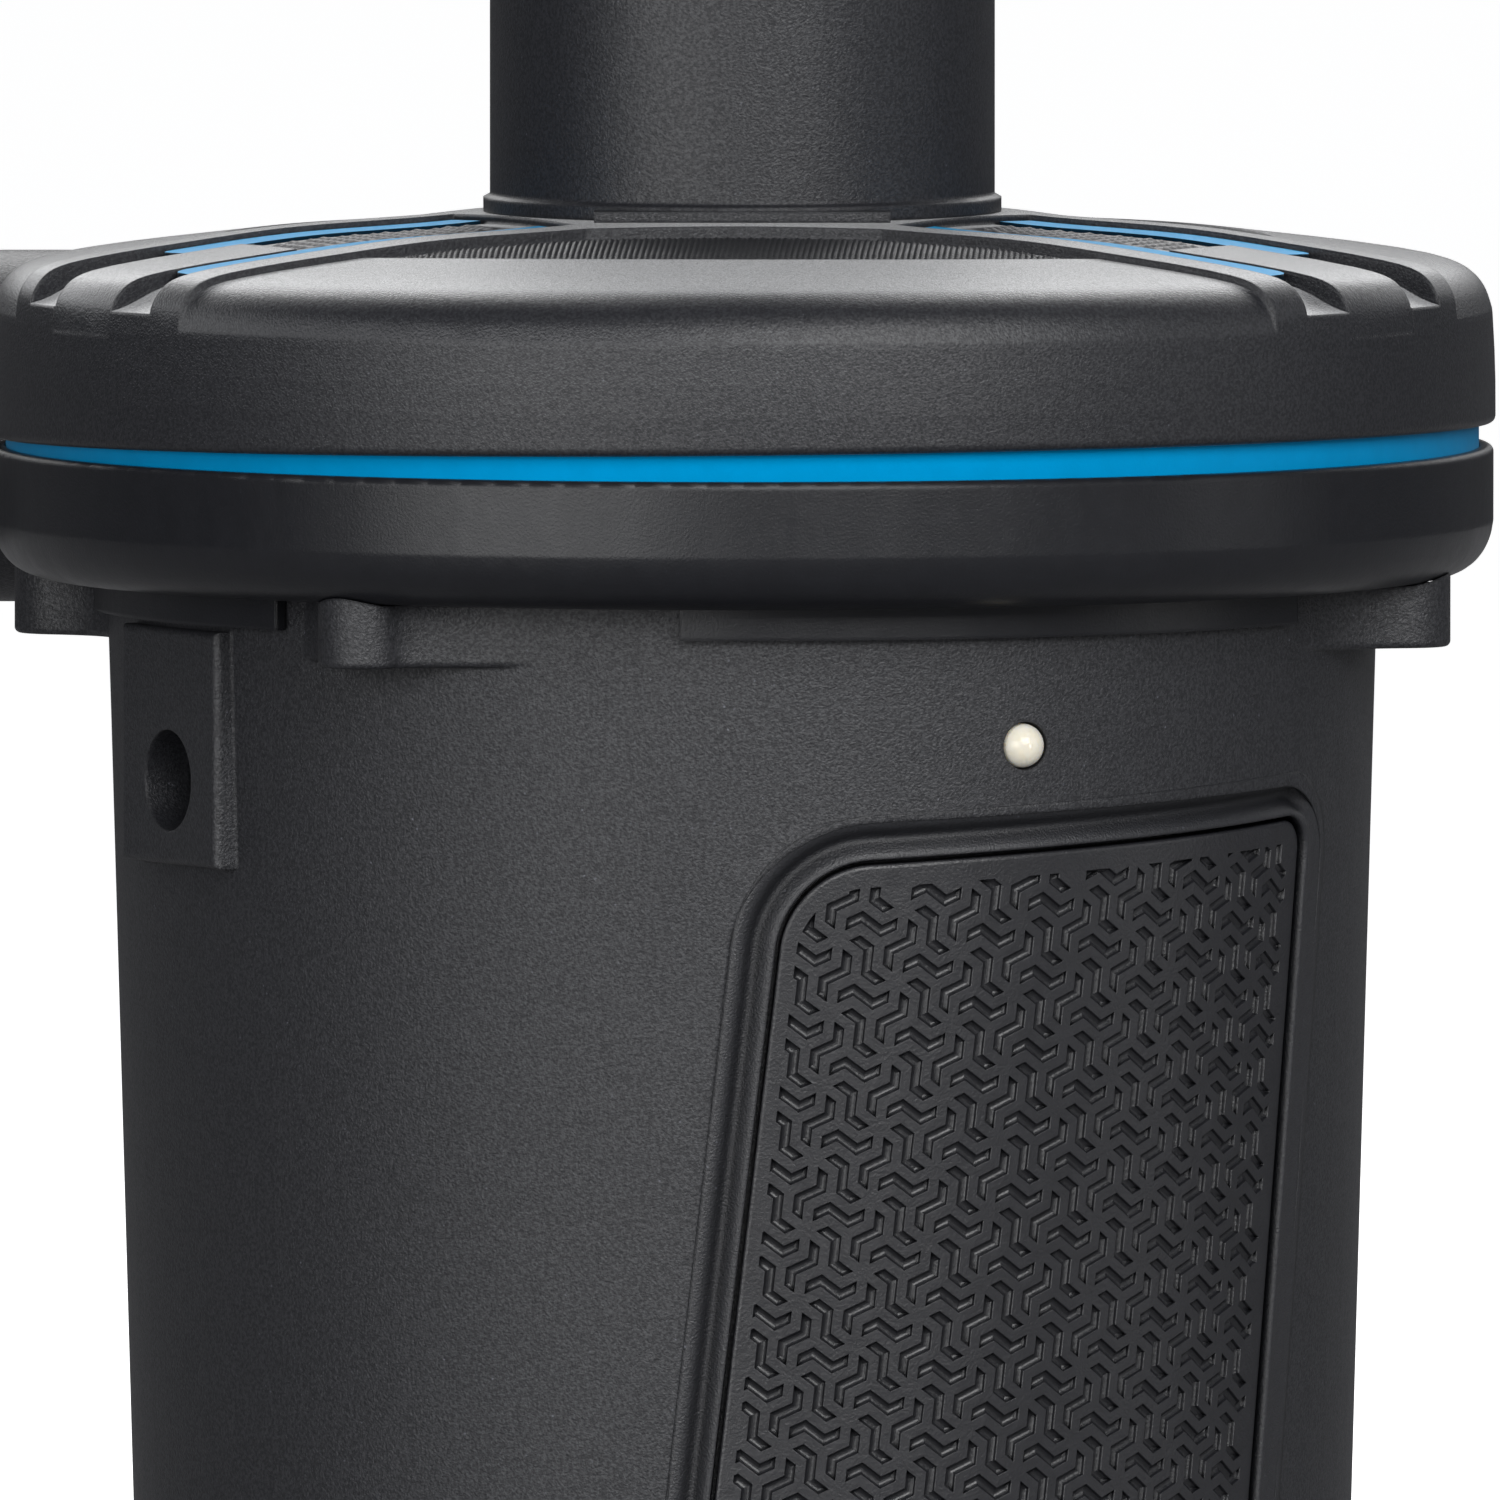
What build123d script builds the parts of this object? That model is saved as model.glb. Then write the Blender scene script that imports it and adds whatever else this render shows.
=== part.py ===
from build123d import *
import os
from math import cos, radians, sin, sqrt, tan

# Hand-held rechargeable air pump for pool floats and airbeds.
# Frame: millimetres, +Z up, origin on the pump's axis at the underside of its foot pad.
# -Y is the front (grip and charge lamp side), the blower outlet points along -X at the back.
# Azimuths are degrees counterclockwise from +X, seen from above.

# ------------------------------------------------------------------ driving dimensions
DRAFT = 1.59                 # wall draft of the body, degrees per side
R_REF, Z_REF = 43.75, 114.7  # body outer radius at a reference height
WALL = 2.4                   # moulded wall of the body
TUB_Z0, TUB_Z1 = 5.0, 119.9

FLOOR_Z = 120.0              # underside of the blower's lower shell
FLOOR_T = 2.3
FLOOR_TOP = FLOOR_Z + FLOOR_T
LOW_R, LOW_TOP = 51.9, 128.9
UP_BOTTOM = 129.99           # mean height of the upper shell's lower edge
UP_TILT_X, UP_TILT_Y = 0.53, 0.80  # that edge rises to the right and to the front, degrees
SHELL_IN = 49.6              # inside radius of both shells
REBATE_R = 51.0              # rebate that takes the blue trim ring
RING_R_OUT, RING_R_IN = 50.9, 49.9

HUB_Z = 145.05               # top of the cover at its hub
PORT_R, PORT_BORE, PORT_TOP = 17.44, 15.2, 168.0

OUT_R, OUT_BORE = 12.25, 10.3     # side outlet tube
OUT_SOCKET, OUT_DUCT = 22.0, 9.7  # depth of the push-in socket, radius of the duct behind it
OUT_Y, OUT_Z = 36.0, 128.4
OUT_X_IN, OUT_X_END = -17.0, -76.0

# ears for the head's screws: azimuth, side of the long web, boss radius
EARS = ((173.0, -1.0, 3.6), (236.5, 1.0, 3.05), (345.0, -1.0, 3.3), (62.0, 1.0, 3.3))
EAR_BC = 47.1                # radius of the ear screws' circle
EAR_Z0 = 115.6
EAR_HOLE_R = 1.6
BOSS_R = 2.65                # screw bosses inside the shells
BOSS_BC = EAR_BC - 0.05

JACK_AZ, JACK_Z, JACK_PLANE = 207.4, 106.8, 44.5
LED_AZ, LED_Z, LED_R = 296.4, 110.2, 1.52
SWITCH_AZ, SWITCH_Z, SWITCH_PLANE = 58.0, 92.0, 44.2
GRIPS = (("grip_pad_right", 300.5), ("grip_pad_left", 120.5))

SHAFT_R = 1.585
SHAFT_BORE_R = SHAFT_R + 0.015
MOTOR_R = 17.9
MOTOR_SCREWS = ((12.5, 0), (-12.5, 0))

BASE_SCREW_BC, BASE_SCREW_AZ = 35.7, (30, 150, 270)


# ------------------------------------------------------------------ helpers
def body_r(z):
    """Outer radius of the conical body at a height."""
    return R_REF - (Z_REF - z) * tan(radians(DRAFT))


def polar(r, azimuth):
    return (r * cos(radians(azimuth)), r * sin(radians(azimuth)))


def radial_plane(azimuth, height=0):
    """Plane on the axis that faces outward: x runs counterclockwise, y up."""
    x, y = polar(1, azimuth)
    return Plane(origin=(0, 0, height), x_dir=(-y, x, 0), z_dir=(x, y, 0))


def cover_plane(azimuth):
    """Level plane below the cover with x outward along an azimuth."""
    return Plane(origin=(0, 0, 130), x_dir=(*polar(1, azimuth), 0), z_dir=(0, 0, 1))


def wall_band(z0, z1, inner, outer):
    """Profile points of a band that follows the body wall, offsets from its outer face."""
    return [(body_r(z0) + inner, z0), (body_r(z0) + outer, z0),
            (body_r(z1) + outer, z1), (body_r(z1) + inner, z1)]


def draw_arc_band(r_out, r_in, start, arc):
    """Outline of a length of ring; called inside a BuildLine."""
    outer = CenterArc((0, 0), r_out, start, arc)
    inner = CenterArc((0, 0), r_in, start, arc)
    Line(outer @ 0, inner @ 0)
    Line(outer @ 1, inner @ 1)


def draw_cross(length, width):
    """Cross slot of a screw head; called inside a BuildSketch."""
    Rectangle(length, width)
    Rectangle(width, length)


def circles_at(builder, axis, position):
    circles = builder.edges().filter_by(GeomType.CIRCLE)
    return circles.filter_by_position(axis, position - 0.01, position + 0.01)


def outer_face_edges(builder, plane):
    """Edges of the face farthest out along the plane's normal."""
    return builder.faces().sort_by(Axis((0, 0, 0), plane.z_dir))[-1].edges()


def outlet_cutter(gap, length=60 + OUT_X_IN + 0.2):
    """Cylinder around the outlet tube, from X -60 inward."""
    with BuildPart() as cutter:
        with BuildSketch(Plane.YZ.offset(-60)):
            with Locations((OUT_Y, OUT_Z)):
                Circle(OUT_R + gap)
        extrude(amount=length)
    return cutter.part


def write_piece(part, name):
    part.label = name
    export_step(part, f"parts/{name}.step")


os.makedirs("parts", exist_ok=True)

jack_plane = radial_plane(JACK_AZ, JACK_Z)
led_plane = radial_plane(LED_AZ, LED_Z)
switch_plane = radial_plane(SWITCH_AZ, SWITCH_Z)
ear_points = [polar(EAR_BC, azimuth) for azimuth, _, _ in EARS]
boss_points = [polar(BOSS_BC, azimuth) for azimuth, _, _ in EARS]
base_screw_points = [polar(BASE_SCREW_BC, azimuth) for azimuth in BASE_SCREW_AZ]
outlet_notch = outlet_cutter(0.3, 50)
outlet_seat = outlet_cutter(0.08)
outlet_ring_gap = outlet_cutter(0.15)

# ================================================================== grip outline
# corners: degrees from the grip's middle plane, height, outward signs sideways and up
GRIP_TOP, GRIP_BOTTOM = 102.6, 22.6
GRIP_CORNERS = ((-26.6, GRIP_TOP - 0.4, -1, 1), (32.5, GRIP_TOP + 1.5, 1, 1),
                (21.0, GRIP_BOTTOM + 1.3, 1, -1), (-39.4, GRIP_BOTTOM - 0.5, -1, -1))
GRIP_Z0, GRIP_Z1 = 5, 118   # heights that the grip's wall layer spans
BACKING_Z0, BACKING_Z1 = 10, 112
PRISM_START, PRISM_LENGTH = 20, 40


def grip_polygon(grow):
    """Grip outline on a radial plane, each corner moved out by grow."""
    return [(body_r(z) * sin(radians(angle)) + side * grow, z + up * grow)
            for angle, z, side, up in GRIP_CORNERS]


def round_grip_corners(sketch, bottom, top_low_x, top_high_x):
    """Fillets the outline's corners; called inside the sketch's own block."""
    fillet(sketch.vertices().sort_by(Axis.Y)[:2], radius=bottom)
    fillet(sketch.vertices().sort_by(Axis.Y)[-2:].sort_by(Axis.X)[0], radius=top_low_x)
    fillet(sketch.vertices().sort_by(Axis.Y)[-1], radius=top_high_x)


# band of wall behind each grip, thick enough to carry the recess
with BuildPart() as grip_backing:
    with BuildSketch(Plane.XZ):
        with BuildLine():
            Polyline(*wall_band(BACKING_Z0, BACKING_Z1, -4.6, -WALL + 0.3), close=True)
        make_face()
    revolve(axis=Axis.Z)
with BuildPart() as grip_prism:
    for _, azimuth in GRIPS:
        with BuildSketch(radial_plane(azimuth).offset(PRISM_START)):
            with BuildLine():
                Polyline(*grip_polygon(4.0), close=True)
            make_face()
        extrude(amount=PRISM_LENGTH)

RECESS_DEPTH = 2.2
with BuildPart() as grip_recess:
    for _, azimuth in GRIPS:
        with BuildSketch(radial_plane(azimuth).offset(PRISM_START)) as recess_outline:
            with BuildLine():
                Polyline(*grip_polygon(2.6), close=True)
            make_face()
            round_grip_corners(recess_outline, 5.6, 9.4, 4.6)
        extrude(amount=PRISM_LENGTH)
    # keep only the layer between the recess floor and outside the wall
    with BuildSketch(Plane.XZ):
        with BuildLine():
            Polyline((body_r(GRIP_Z0) - RECESS_DEPTH, GRIP_Z0), (60, GRIP_Z0), (60, GRIP_Z1),
                     (body_r(GRIP_Z1) - RECESS_DEPTH, GRIP_Z1), close=True)
        make_face()
    revolve(axis=Axis.Z, mode=Mode.INTERSECT)

# ================================================================== body pads and ears
JACK_PAD_W, JACK_PAD_Z0, JACK_PAD_Z1 = 14.3, 101.0, 117.3
JACK_PAD_START, SWITCH_PAD_START = 38, 34

with BuildPart() as jack_pad:
    with BuildSketch(jack_plane.offset(JACK_PAD_START)):
        with Locations((0, (JACK_PAD_Z0 + JACK_PAD_Z1) / 2 - JACK_Z)):
            Rectangle(JACK_PAD_W, JACK_PAD_Z1 - JACK_PAD_Z0)
    extrude(amount=JACK_PLANE - JACK_PAD_START)
    fillet(outer_face_edges(jack_pad, jack_plane), radius=0.5)
with BuildPart() as switch_pad:
    with BuildSketch(switch_plane.offset(SWITCH_PAD_START)):
        RectangleRounded(20, 26, 3)
    extrude(amount=SWITCH_PLANE - SWITCH_PAD_START)
    fillet(outer_face_edges(switch_pad, switch_plane), radius=0.7)

EAR_SURF = body_r(117.9) - 0.12   # radius where the webs run into the wall
LONG_WEB, SHORT_WEB = 16.5, 11.0  # degrees from the boss to the webs' ends
# (r, z) control points of the underside of the head that the ears' tops follow
EAR_TOP_CURVE = ((48.32, TUB_Z1), (49.74, TUB_Z1 + 0.05),
                 (51.6, TUB_Z1 + 0.9), (51.96, TUB_Z1 + 3.75))


def make_ear(azimuth, side, boss_r):
    """Round boss with a long and a short web that run hollow into the wall."""
    cx, cy = polar(EAR_BC, azimuth)

    def boss_point(angle):
        x, y = polar(boss_r, angle)
        return (cx + x, cy + y)

    def tangent(angle, direction):
        x, y = polar(direction, angle)
        return (-y, x)

    long_end, short_end = azimuth + LONG_WEB * side, azimuth - SHORT_WEB * side
    long_foot, short_foot = polar(EAR_SURF, long_end), polar(EAR_SURF, short_end)
    # angles round the boss where the webs leave it
    long_leave = azimuth + (78.0 if boss_r < 3.2 else 66.0) * side
    short_leave = azimuth - 74.0 * side
    long_start, short_start = boss_point(long_leave), boss_point(short_leave)
    with BuildPart() as ear:
        with BuildSketch(Plane.XY.offset(EAR_Z0)):
            with BuildLine():
                Spline(long_start, long_foot,
                       tangents=[tangent(long_leave, side), tangent(long_end, side)])
                ThreePointArc(long_start, boss_point(azimuth), short_start)
                Spline(short_start, short_foot,
                       tangents=[tangent(short_leave, -side), tangent(short_end, -side)])
                Polyline(short_foot, polar(42.6, short_end), polar(42.2, azimuth),
                         polar(42.6, long_end), long_foot)
            make_face()
        extrude(amount=TUB_Z1 + 3.0 - EAR_Z0)
        low = ear.edges().filter_by_position(Axis.Z, EAR_Z0 - 0.01, EAR_Z0 + 0.01)
        fillet([e for e in low if e.geom_type != GeomType.LINE and e.length < 40], radius=0.4)
        # tops follow the underside of the head
        with BuildSketch(Plane.XZ):
            with BuildLine():
                Polyline(EAR_TOP_CURVE[-1], (60, TUB_Z1 + 3.75), (60, TUB_Z1 + 10),
                         (0, TUB_Z1 + 10), (0, TUB_Z1), EAR_TOP_CURVE[0])
                Bezier(*EAR_TOP_CURVE)
            make_face()
        revolve(axis=Axis.Z, mode=Mode.SUBTRACT)
    return ear.part


# ================================================================== body
HOLLOW_Z0, HOLLOW_Z1 = TUB_Z0 - 1, TUB_Z1 + 1
POST_R, POST_HOLE_R = 2.9, 1.27
EAR_COUNTERBORE_R = 2.4
JACK_HOLE_R, LED_HOLE_R = 3.5, LED_R + 0.14
SWITCH_OPENING = (12.9, 18.9)
# flats inside the wall: plane, width, height, inner and outer distance from the axis
INSIDE_FLATS = ((switch_plane, 18, 24, 40.2, 43.0), (jack_plane, 12.5, 12.0, 41.3, 43.2))

with BuildPart() as body_tub:
    # outer wall: long cone
    with BuildSketch(Plane.XZ):
        with BuildLine():
            Polyline((0, TUB_Z0), (body_r(TUB_Z0), TUB_Z0), (body_r(TUB_Z1), TUB_Z1),
                     (0, TUB_Z1), close=True)
        make_face()
    revolve(axis=Axis.Z)
    for ear_values in EARS:
        add(make_ear(*ear_values))
    # flat pads around the charging socket and the switch
    add(jack_pad.part)
    add(switch_pad.part)
    # hollow
    with BuildSketch(Plane.XZ):
        with BuildLine():
            Polyline((0, HOLLOW_Z0), (body_r(HOLLOW_Z0) - WALL, HOLLOW_Z0),
                     (body_r(HOLLOW_Z1) - WALL, HOLLOW_Z1), (0, HOLLOW_Z1), close=True)
        make_face()
    revolve(axis=Axis.Z, mode=Mode.SUBTRACT)
    # thicker wall behind the grips
    add(grip_backing.part.intersect(grip_prism.part))
    for plane, width, height, inner, outer in INSIDE_FLATS:
        with BuildSketch(plane.offset(inner)):
            Rectangle(width, height)
        extrude(amount=outer - inner)
    add(grip_recess.part, mode=Mode.SUBTRACT)
    # posts for the base screws
    for point in base_screw_points:
        with BuildSketch(Plane.XY.offset(10)):
            with Locations(point):
                Circle(POST_R)
        extrude(amount=16)
        with BuildSketch(Plane.XY.offset(9)):
            with Locations(point):
                Circle(POST_HOLE_R)
        extrude(amount=15, mode=Mode.SUBTRACT)
    # screw passages through the ears, with a counterbore from below
    for point in ear_points:
        for radius, depth in ((EAR_HOLE_R, 8), (EAR_COUNTERBORE_R, 3.0)):
            with BuildSketch(Plane.XY.offset(EAR_Z0 - 1)):
                with Locations(point):
                    Circle(radius)
            extrude(amount=depth, mode=Mode.SUBTRACT)
    # charging socket hole, lamp hole, switch opening
    with BuildSketch(jack_plane.offset(39)):
        Circle(JACK_HOLE_R)
    extrude(amount=8, mode=Mode.SUBTRACT)
    with BuildSketch(led_plane.offset(38)):
        Circle(LED_HOLE_R)
    extrude(amount=8, mode=Mode.SUBTRACT)
    with BuildSketch(switch_plane.offset(SWITCH_PAD_START)):
        Rectangle(*SWITCH_OPENING)
    extrude(amount=14, mode=Mode.SUBTRACT)
    # notch that clears the outlet tube under the head
    add(outlet_notch, mode=Mode.SUBTRACT)
write_piece(body_tub.part, "body_tub")

# ================================================================== grips
for name, azimuth in GRIPS:
    with BuildPart() as grip:
        with BuildSketch(radial_plane(azimuth).offset(PRISM_START)) as grip_outline:
            with BuildLine():
                Polyline(*grip_polygon(0.0), close=True)
            make_face()
            round_grip_corners(grip_outline, 3.0, 6.8, 2.0)
        extrude(amount=PRISM_LENGTH)
        with BuildSketch(Plane.XZ):
            with BuildLine():
                Polyline(*wall_band(GRIP_Z0, GRIP_Z1, -2.15, 0.05), close=True)
            make_face()
        revolve(axis=Axis.Z, mode=Mode.INTERSECT)
    write_piece(grip.part, name)

# ================================================================== volute wall (spiral)
TONGUE_AZ, TONGUE_R = 124.0, 30.9
SPIRAL_END_AZ, SPIRAL_END_R = 450.0, 43.2
SPIRAL_STEPS = 18
SPIRAL_T = 1.4
EXIT_X, EXIT_Y = OUT_X_IN + 0.4, 45.2   # end of the straight run to the outlet, inner face


def spiral_points(offset):
    """Plan points of the spiral's inner face, moved outward by offset."""
    points = []
    for step in range(SPIRAL_STEPS + 1):
        fraction = step / SPIRAL_STEPS
        azimuth = TONGUE_AZ + (SPIRAL_END_AZ - TONGUE_AZ) * fraction
        radius = TONGUE_R + (SPIRAL_END_R - TONGUE_R) * fraction
        points.append(polar(radius + offset, azimuth))
    return points


def draw_spiral_wall():
    """Plan outline of the spiral wall; called inside a BuildLine."""
    inner = Spline(*spiral_points(0))
    outer = Spline(*spiral_points(SPIRAL_T))
    Line(inner @ 0, outer @ 0)
    Polyline(inner @ 1, (EXIT_X, EXIT_Y), (EXIT_X, EXIT_Y + SPIRAL_T), outer @ 1)


# ================================================================== lower shell of the blower
LOW_CURVE_R, LOW_CURVE_Z = 48.3, FLOOR_Z + 3.7   # start radius and end height of the edge curve
LOW_REBATE_Z = 127.5
SPIGOT_Z0, SPIGOT_R_OUT, SPIGOT_R_IN = 116.2, 41.1, 39.5
SKIRT_Z0, SKIRT_R_OUT, SKIRT_R_IN = 117.7, 44.9, 43.98
SKIRT_ARCS = ((264.5, 328.3), (184.6, 224.6))    # start and end azimuths
LOW_SPIRAL_TOP, LOW_BOSS_TOP = 129.6, 129.4
NOSE_HOLE_R, MOTOR_SCREW_HOLE_R = 6.7, 1.65

with BuildPart() as lower_shell:
    with BuildSketch(Plane.XZ):
        with BuildLine():
            Polyline((0, FLOOR_Z), (LOW_CURVE_R, FLOOR_Z))
            Bezier((LOW_CURVE_R, FLOOR_Z), (49.7, FLOOR_Z + 0.05), (51.55, FLOOR_Z + 0.9),
                   (LOW_R, LOW_CURVE_Z))
            Polyline((LOW_R, LOW_CURVE_Z), (LOW_R, LOW_TOP), (REBATE_R, LOW_TOP),
                     (REBATE_R, LOW_REBATE_Z), (SHELL_IN, LOW_REBATE_Z),
                     (SHELL_IN, FLOOR_TOP), (0, FLOOR_TOP), (0, FLOOR_Z))
        make_face()
    revolve(axis=Axis.Z)
    top_edge = lower_shell.edges().filter_by(GeomType.CIRCLE).filter_by(
        lambda e: abs(e.radius - LOW_R) < 0.01 and abs(e.center().Z - LOW_TOP) < 0.01)
    fillet(top_edge, radius=0.42)
    # spigot inside the body
    with BuildSketch(Plane.XY.offset(SPIGOT_Z0)):
        Circle(SPIGOT_R_OUT)
        Circle(SPIGOT_R_IN, mode=Mode.SUBTRACT)
    extrude(amount=FLOOR_Z - SPIGOT_Z0 + 0.5)
    # two lengths of skirt outside the body's top edge
    for start, end in SKIRT_ARCS:
        with BuildSketch(Plane.XY.offset(SKIRT_Z0)):
            with BuildLine():
                draw_arc_band(SKIRT_R_OUT, SKIRT_R_IN, start, end - start)
            make_face()
        extrude(amount=FLOOR_Z - SKIRT_Z0 + 0.5)
    # lower half of the spiral wall
    with BuildSketch(Plane.XY.offset(FLOOR_Z + 1)):
        with BuildLine():
            draw_spiral_wall()
        make_face()
    extrude(amount=LOW_SPIRAL_TOP - FLOOR_Z - 1)
    # screw bosses and their passages
    for point in boss_points:
        with BuildSketch(Plane.XY.offset(FLOOR_Z + 1)):
            with Locations(point):
                Circle(BOSS_R)
        extrude(amount=LOW_BOSS_TOP - FLOOR_Z - 1)
    for point in ear_points:
        with BuildSketch(Plane.XY.offset(FLOOR_Z - 1)):
            with Locations(point):
                Circle(EAR_HOLE_R)
        extrude(amount=12, mode=Mode.SUBTRACT)
    # holes for the motor nose and its two screws
    with BuildSketch(Plane.XY.offset(FLOOR_Z - 1)):
        Circle(NOSE_HOLE_R)
        with Locations(*MOTOR_SCREWS):
            Circle(MOTOR_SCREW_HOLE_R)
    extrude(amount=5, mode=Mode.SUBTRACT)
    add(outlet_seat, mode=Mode.SUBTRACT)
write_piece(lower_shell.part, "lower_shell")

# ================================================================== cover relief
# (r, z) of the cover's top face, from the hub over the rounded shoulder
DOME = [(17.9, HUB_Z), (22.7, 144.7), (32.4, 144.2), (39.8, 143.4), (47.3, 142.42),
        (48.9, 142.1), (50.4, 141.48), (51.1, 140.79), (51.5, 140.09), (51.7, 139.3),
        (51.83, 138.02)]
# (r, z) of the cover's side below the dome
SIDE = [(51.97, 135.45), (52.04, 133.35), (52.04, 128.0)]
SHOULDER_R = 47.3            # last dome point before the shoulder
# (r, z) where the sunk levels run out through the rounded shoulder
PLATE_RUNOUT = [(48.9, 141.58), (50.2, 141.0), (50.95, 140.3), (51.38, 139.6),
                (51.62, 138.95), (51.95, 137.9)]
CHANNEL_RUNOUT = [(48.9, 140.52), (50.0, 139.98), (51.0, 139.62), (52.1, 139.38)]

ARM_AZ = (208.35, 328.35, 88.35)     # three arms of the cover
SECTOR_AZ = (268.35, 28.35, 148.35)  # three dished sectors between them
ARM_HALF = 12.0
CH_IN, CH_OUT = 4.1, 8.8             # strip channels, distance from the arm's centre line
CH_MID = (CH_IN + CH_OUT) / 2
# depths below the cover's face
PLATE_DROP, MESH_DROP, CH_DROP, STRIP_DROP = 0.5, 0.86, 1.3, 0.38
PAD_DROP, PAD_OUT_DROP = 0.62, 0.28
HUB_FACET = 19.7                     # distance from the axis to a sector's straight inner edge
FLARE_U = 46                         # distance at which a sector's sides turn parallel
MESH_ARC_U, MESH_ARC_R = 35.6, 47.5  # outer reach and radius of the mesh's outer arc
ARM_START, BEYOND_RIM = 17.9, 70.0
CUT_H = 25


def level_points(drop, runout=None):
    """(r, z) of the cover's face lowered by drop, with its own run-out if given."""
    lowered = [(r, z - drop) for r, z in DOME]
    if runout is None:
        return lowered
    return [(r, z) for r, z in lowered if r <= SHOULDER_R] + runout


def space_above(drop, runout=None):
    """Space above a lowered cover face, to be limited by a plan shape."""
    with BuildPart() as space:
        with BuildSketch(Plane.XZ):
            with BuildLine():
                level = Spline(*level_points(drop, runout))
                Polyline(level @ 1, (60, (level @ 1).Y), (60, 150), (17.0, 150),
                         (17.0, HUB_Z - drop), level @ 0)
            make_face()
        revolve(axis=Axis.Z)
    return space.part


def sector_half_width(u):
    """Half width of a sector at distance u, its sides parallel to the arms 60 degrees away."""
    return sqrt(3) * u - 2 * ARM_HALF


def sector_cut(azimuth, space, with_arc):
    hub_half, flare_half = sector_half_width(HUB_FACET), sector_half_width(FLARE_U)
    with BuildPart() as cut:
        with BuildSketch(cover_plane(azimuth)):
            with BuildLine():
                Polyline((HUB_FACET, hub_half), (FLARE_U, flare_half), (BEYOND_RIM, flare_half),
                         (BEYOND_RIM, -flare_half), (FLARE_U, -flare_half),
                         (HUB_FACET, -hub_half), close=True)
            make_face()
            if with_arc:
                with Locations((MESH_ARC_U - MESH_ARC_R, 0)):
                    Circle(MESH_ARC_R, mode=Mode.INTERSECT)
        extrude(amount=CUT_H)
        add(space, mode=Mode.INTERSECT)
    return cut.part


def arm_cut(azimuth, start, end, middle, width, space):
    """Straight cut along an arm, from start to end, centred at middle across it."""
    with BuildPart() as cut:
        with BuildSketch(cover_plane(azimuth)):
            with Locations(((start + end) / 2, middle)):
                Rectangle(end - start, width)
        extrude(amount=CUT_H)
        add(space, mode=Mode.INTERSECT)
    return cut.part


plate_space = space_above(PLATE_DROP, PLATE_RUNOUT)
mesh_space = space_above(MESH_DROP)
channel_space = space_above(CH_DROP, CHANNEL_RUNOUT)
pad_space = space_above(PAD_DROP)
outer_pad_space = space_above(PAD_OUT_DROP)

cover_cuts = [sector_cut(azimuth, plate_space, False) for azimuth in SECTOR_AZ]
cover_cuts += [sector_cut(azimuth, mesh_space, True) for azimuth in SECTOR_AZ]
cover_cuts += [arm_cut(azimuth, ARM_START, BEYOND_RIM, side * CH_MID, CH_OUT - CH_IN,
                       channel_space)
               for azimuth in ARM_AZ for side in (1, -1)]
# pads between the channels: deeper near the hub, shallower outside
cover_cuts += [arm_cut(azimuth, start, end, 0, 2 * CH_IN + 0.1, space)
               for azimuth in ARM_AZ
               for start, end, space in ((ARM_START, 37.0, pad_space),
                                         (36.9, BEYOND_RIM, outer_pad_space))]

# ================================================================== upper shell of the blower
SCROLL_Z, SCROLL_H = 129.8, 15
SCROLL_GAP = 0.8             # spiral and bosses stop this far inside the cover's face
UP_REBATE_Z = 132.4
HUB_UNDER_Z = 142.7
# (r, z) of the cover's underside, from the side wall to the hub
UNDERSIDE = [(SHELL_IN, 138.2), (48.0, 139.6), (39.5, 141.0), (32.0, 141.9),
             (17.9, HUB_UNDER_Z), (0, HUB_UNDER_Z)]
UP_SCREW_HOLE_R = 1.32
PORT_OPENING_R = 16.7

with BuildPart() as scroll_top:
    with BuildSketch(Plane.XY.offset(SCROLL_Z)):
        with BuildLine():
            draw_spiral_wall()
        make_face()
    extrude(amount=SCROLL_H)
    for point in boss_points:
        with BuildSketch(Plane.XY.offset(SCROLL_Z)):
            with Locations(point):
                Circle(BOSS_R)
        extrude(amount=SCROLL_H)
    with BuildSketch(Plane.XZ):
        with BuildLine():
            limit = Spline(*[(r - SCROLL_GAP, z - SCROLL_GAP) for r, z in DOME])
            Polyline(limit @ 1, ((limit @ 1).X, 120), (0, 120), (0, HUB_Z - SCROLL_GAP),
                     limit @ 0)
        make_face()
    revolve(axis=Axis.Z, mode=Mode.INTERSECT)

with BuildPart() as upper_shell:
    with BuildSketch(Plane.XZ):
        with BuildLine():
            dome = Spline(*DOME)
            Polyline(dome @ 1, *SIDE, (REBATE_R, 128.0), (REBATE_R, UP_REBATE_Z),
                     (SHELL_IN, UP_REBATE_Z), *UNDERSIDE, (0, HUB_Z), dome @ 0)
        make_face()
    revolve(axis=Axis.Z)
    # lower edge on a slightly tilted plane
    slope_x, slope_y = tan(radians(UP_TILT_X)), tan(radians(UP_TILT_Y))
    split(bisect_by=Plane(origin=(0, 0, UP_BOTTOM), x_dir=(1, 0, slope_x),
                          z_dir=(-slope_x, slope_y, 1)), keep=Keep.TOP)
    low_edges = upper_shell.edges().filter_by_position(Axis.Z, 128.5, 131.5)
    fillet(low_edges.sort_by(SortBy.LENGTH)[-1], radius=0.5)
    add(scroll_top.part)
    for cut in cover_cuts:
        add(cut, mode=Mode.SUBTRACT)
    for point in ear_points:
        with BuildSketch(Plane.XY.offset(126)):
            with Locations(point):
                Circle(UP_SCREW_HOLE_R)
        extrude(amount=12.5, mode=Mode.SUBTRACT)
    with BuildSketch(Plane.XY.offset(138)):
        Circle(PORT_OPENING_R)
    extrude(amount=12, mode=Mode.SUBTRACT)
    add(outlet_seat, mode=Mode.SUBTRACT)
write_piece(upper_shell.part, "upper_shell")

# ================================================================== blue trim ring and strips
RING_Z0, RING_H = 127.6, 4.7
STRIP_START, STRIP_W, STRIP_CORNER = 18.2, 4.3, 1.3
STRIP_END, LONG_STRIP_END = 41.1, 46.9
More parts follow.
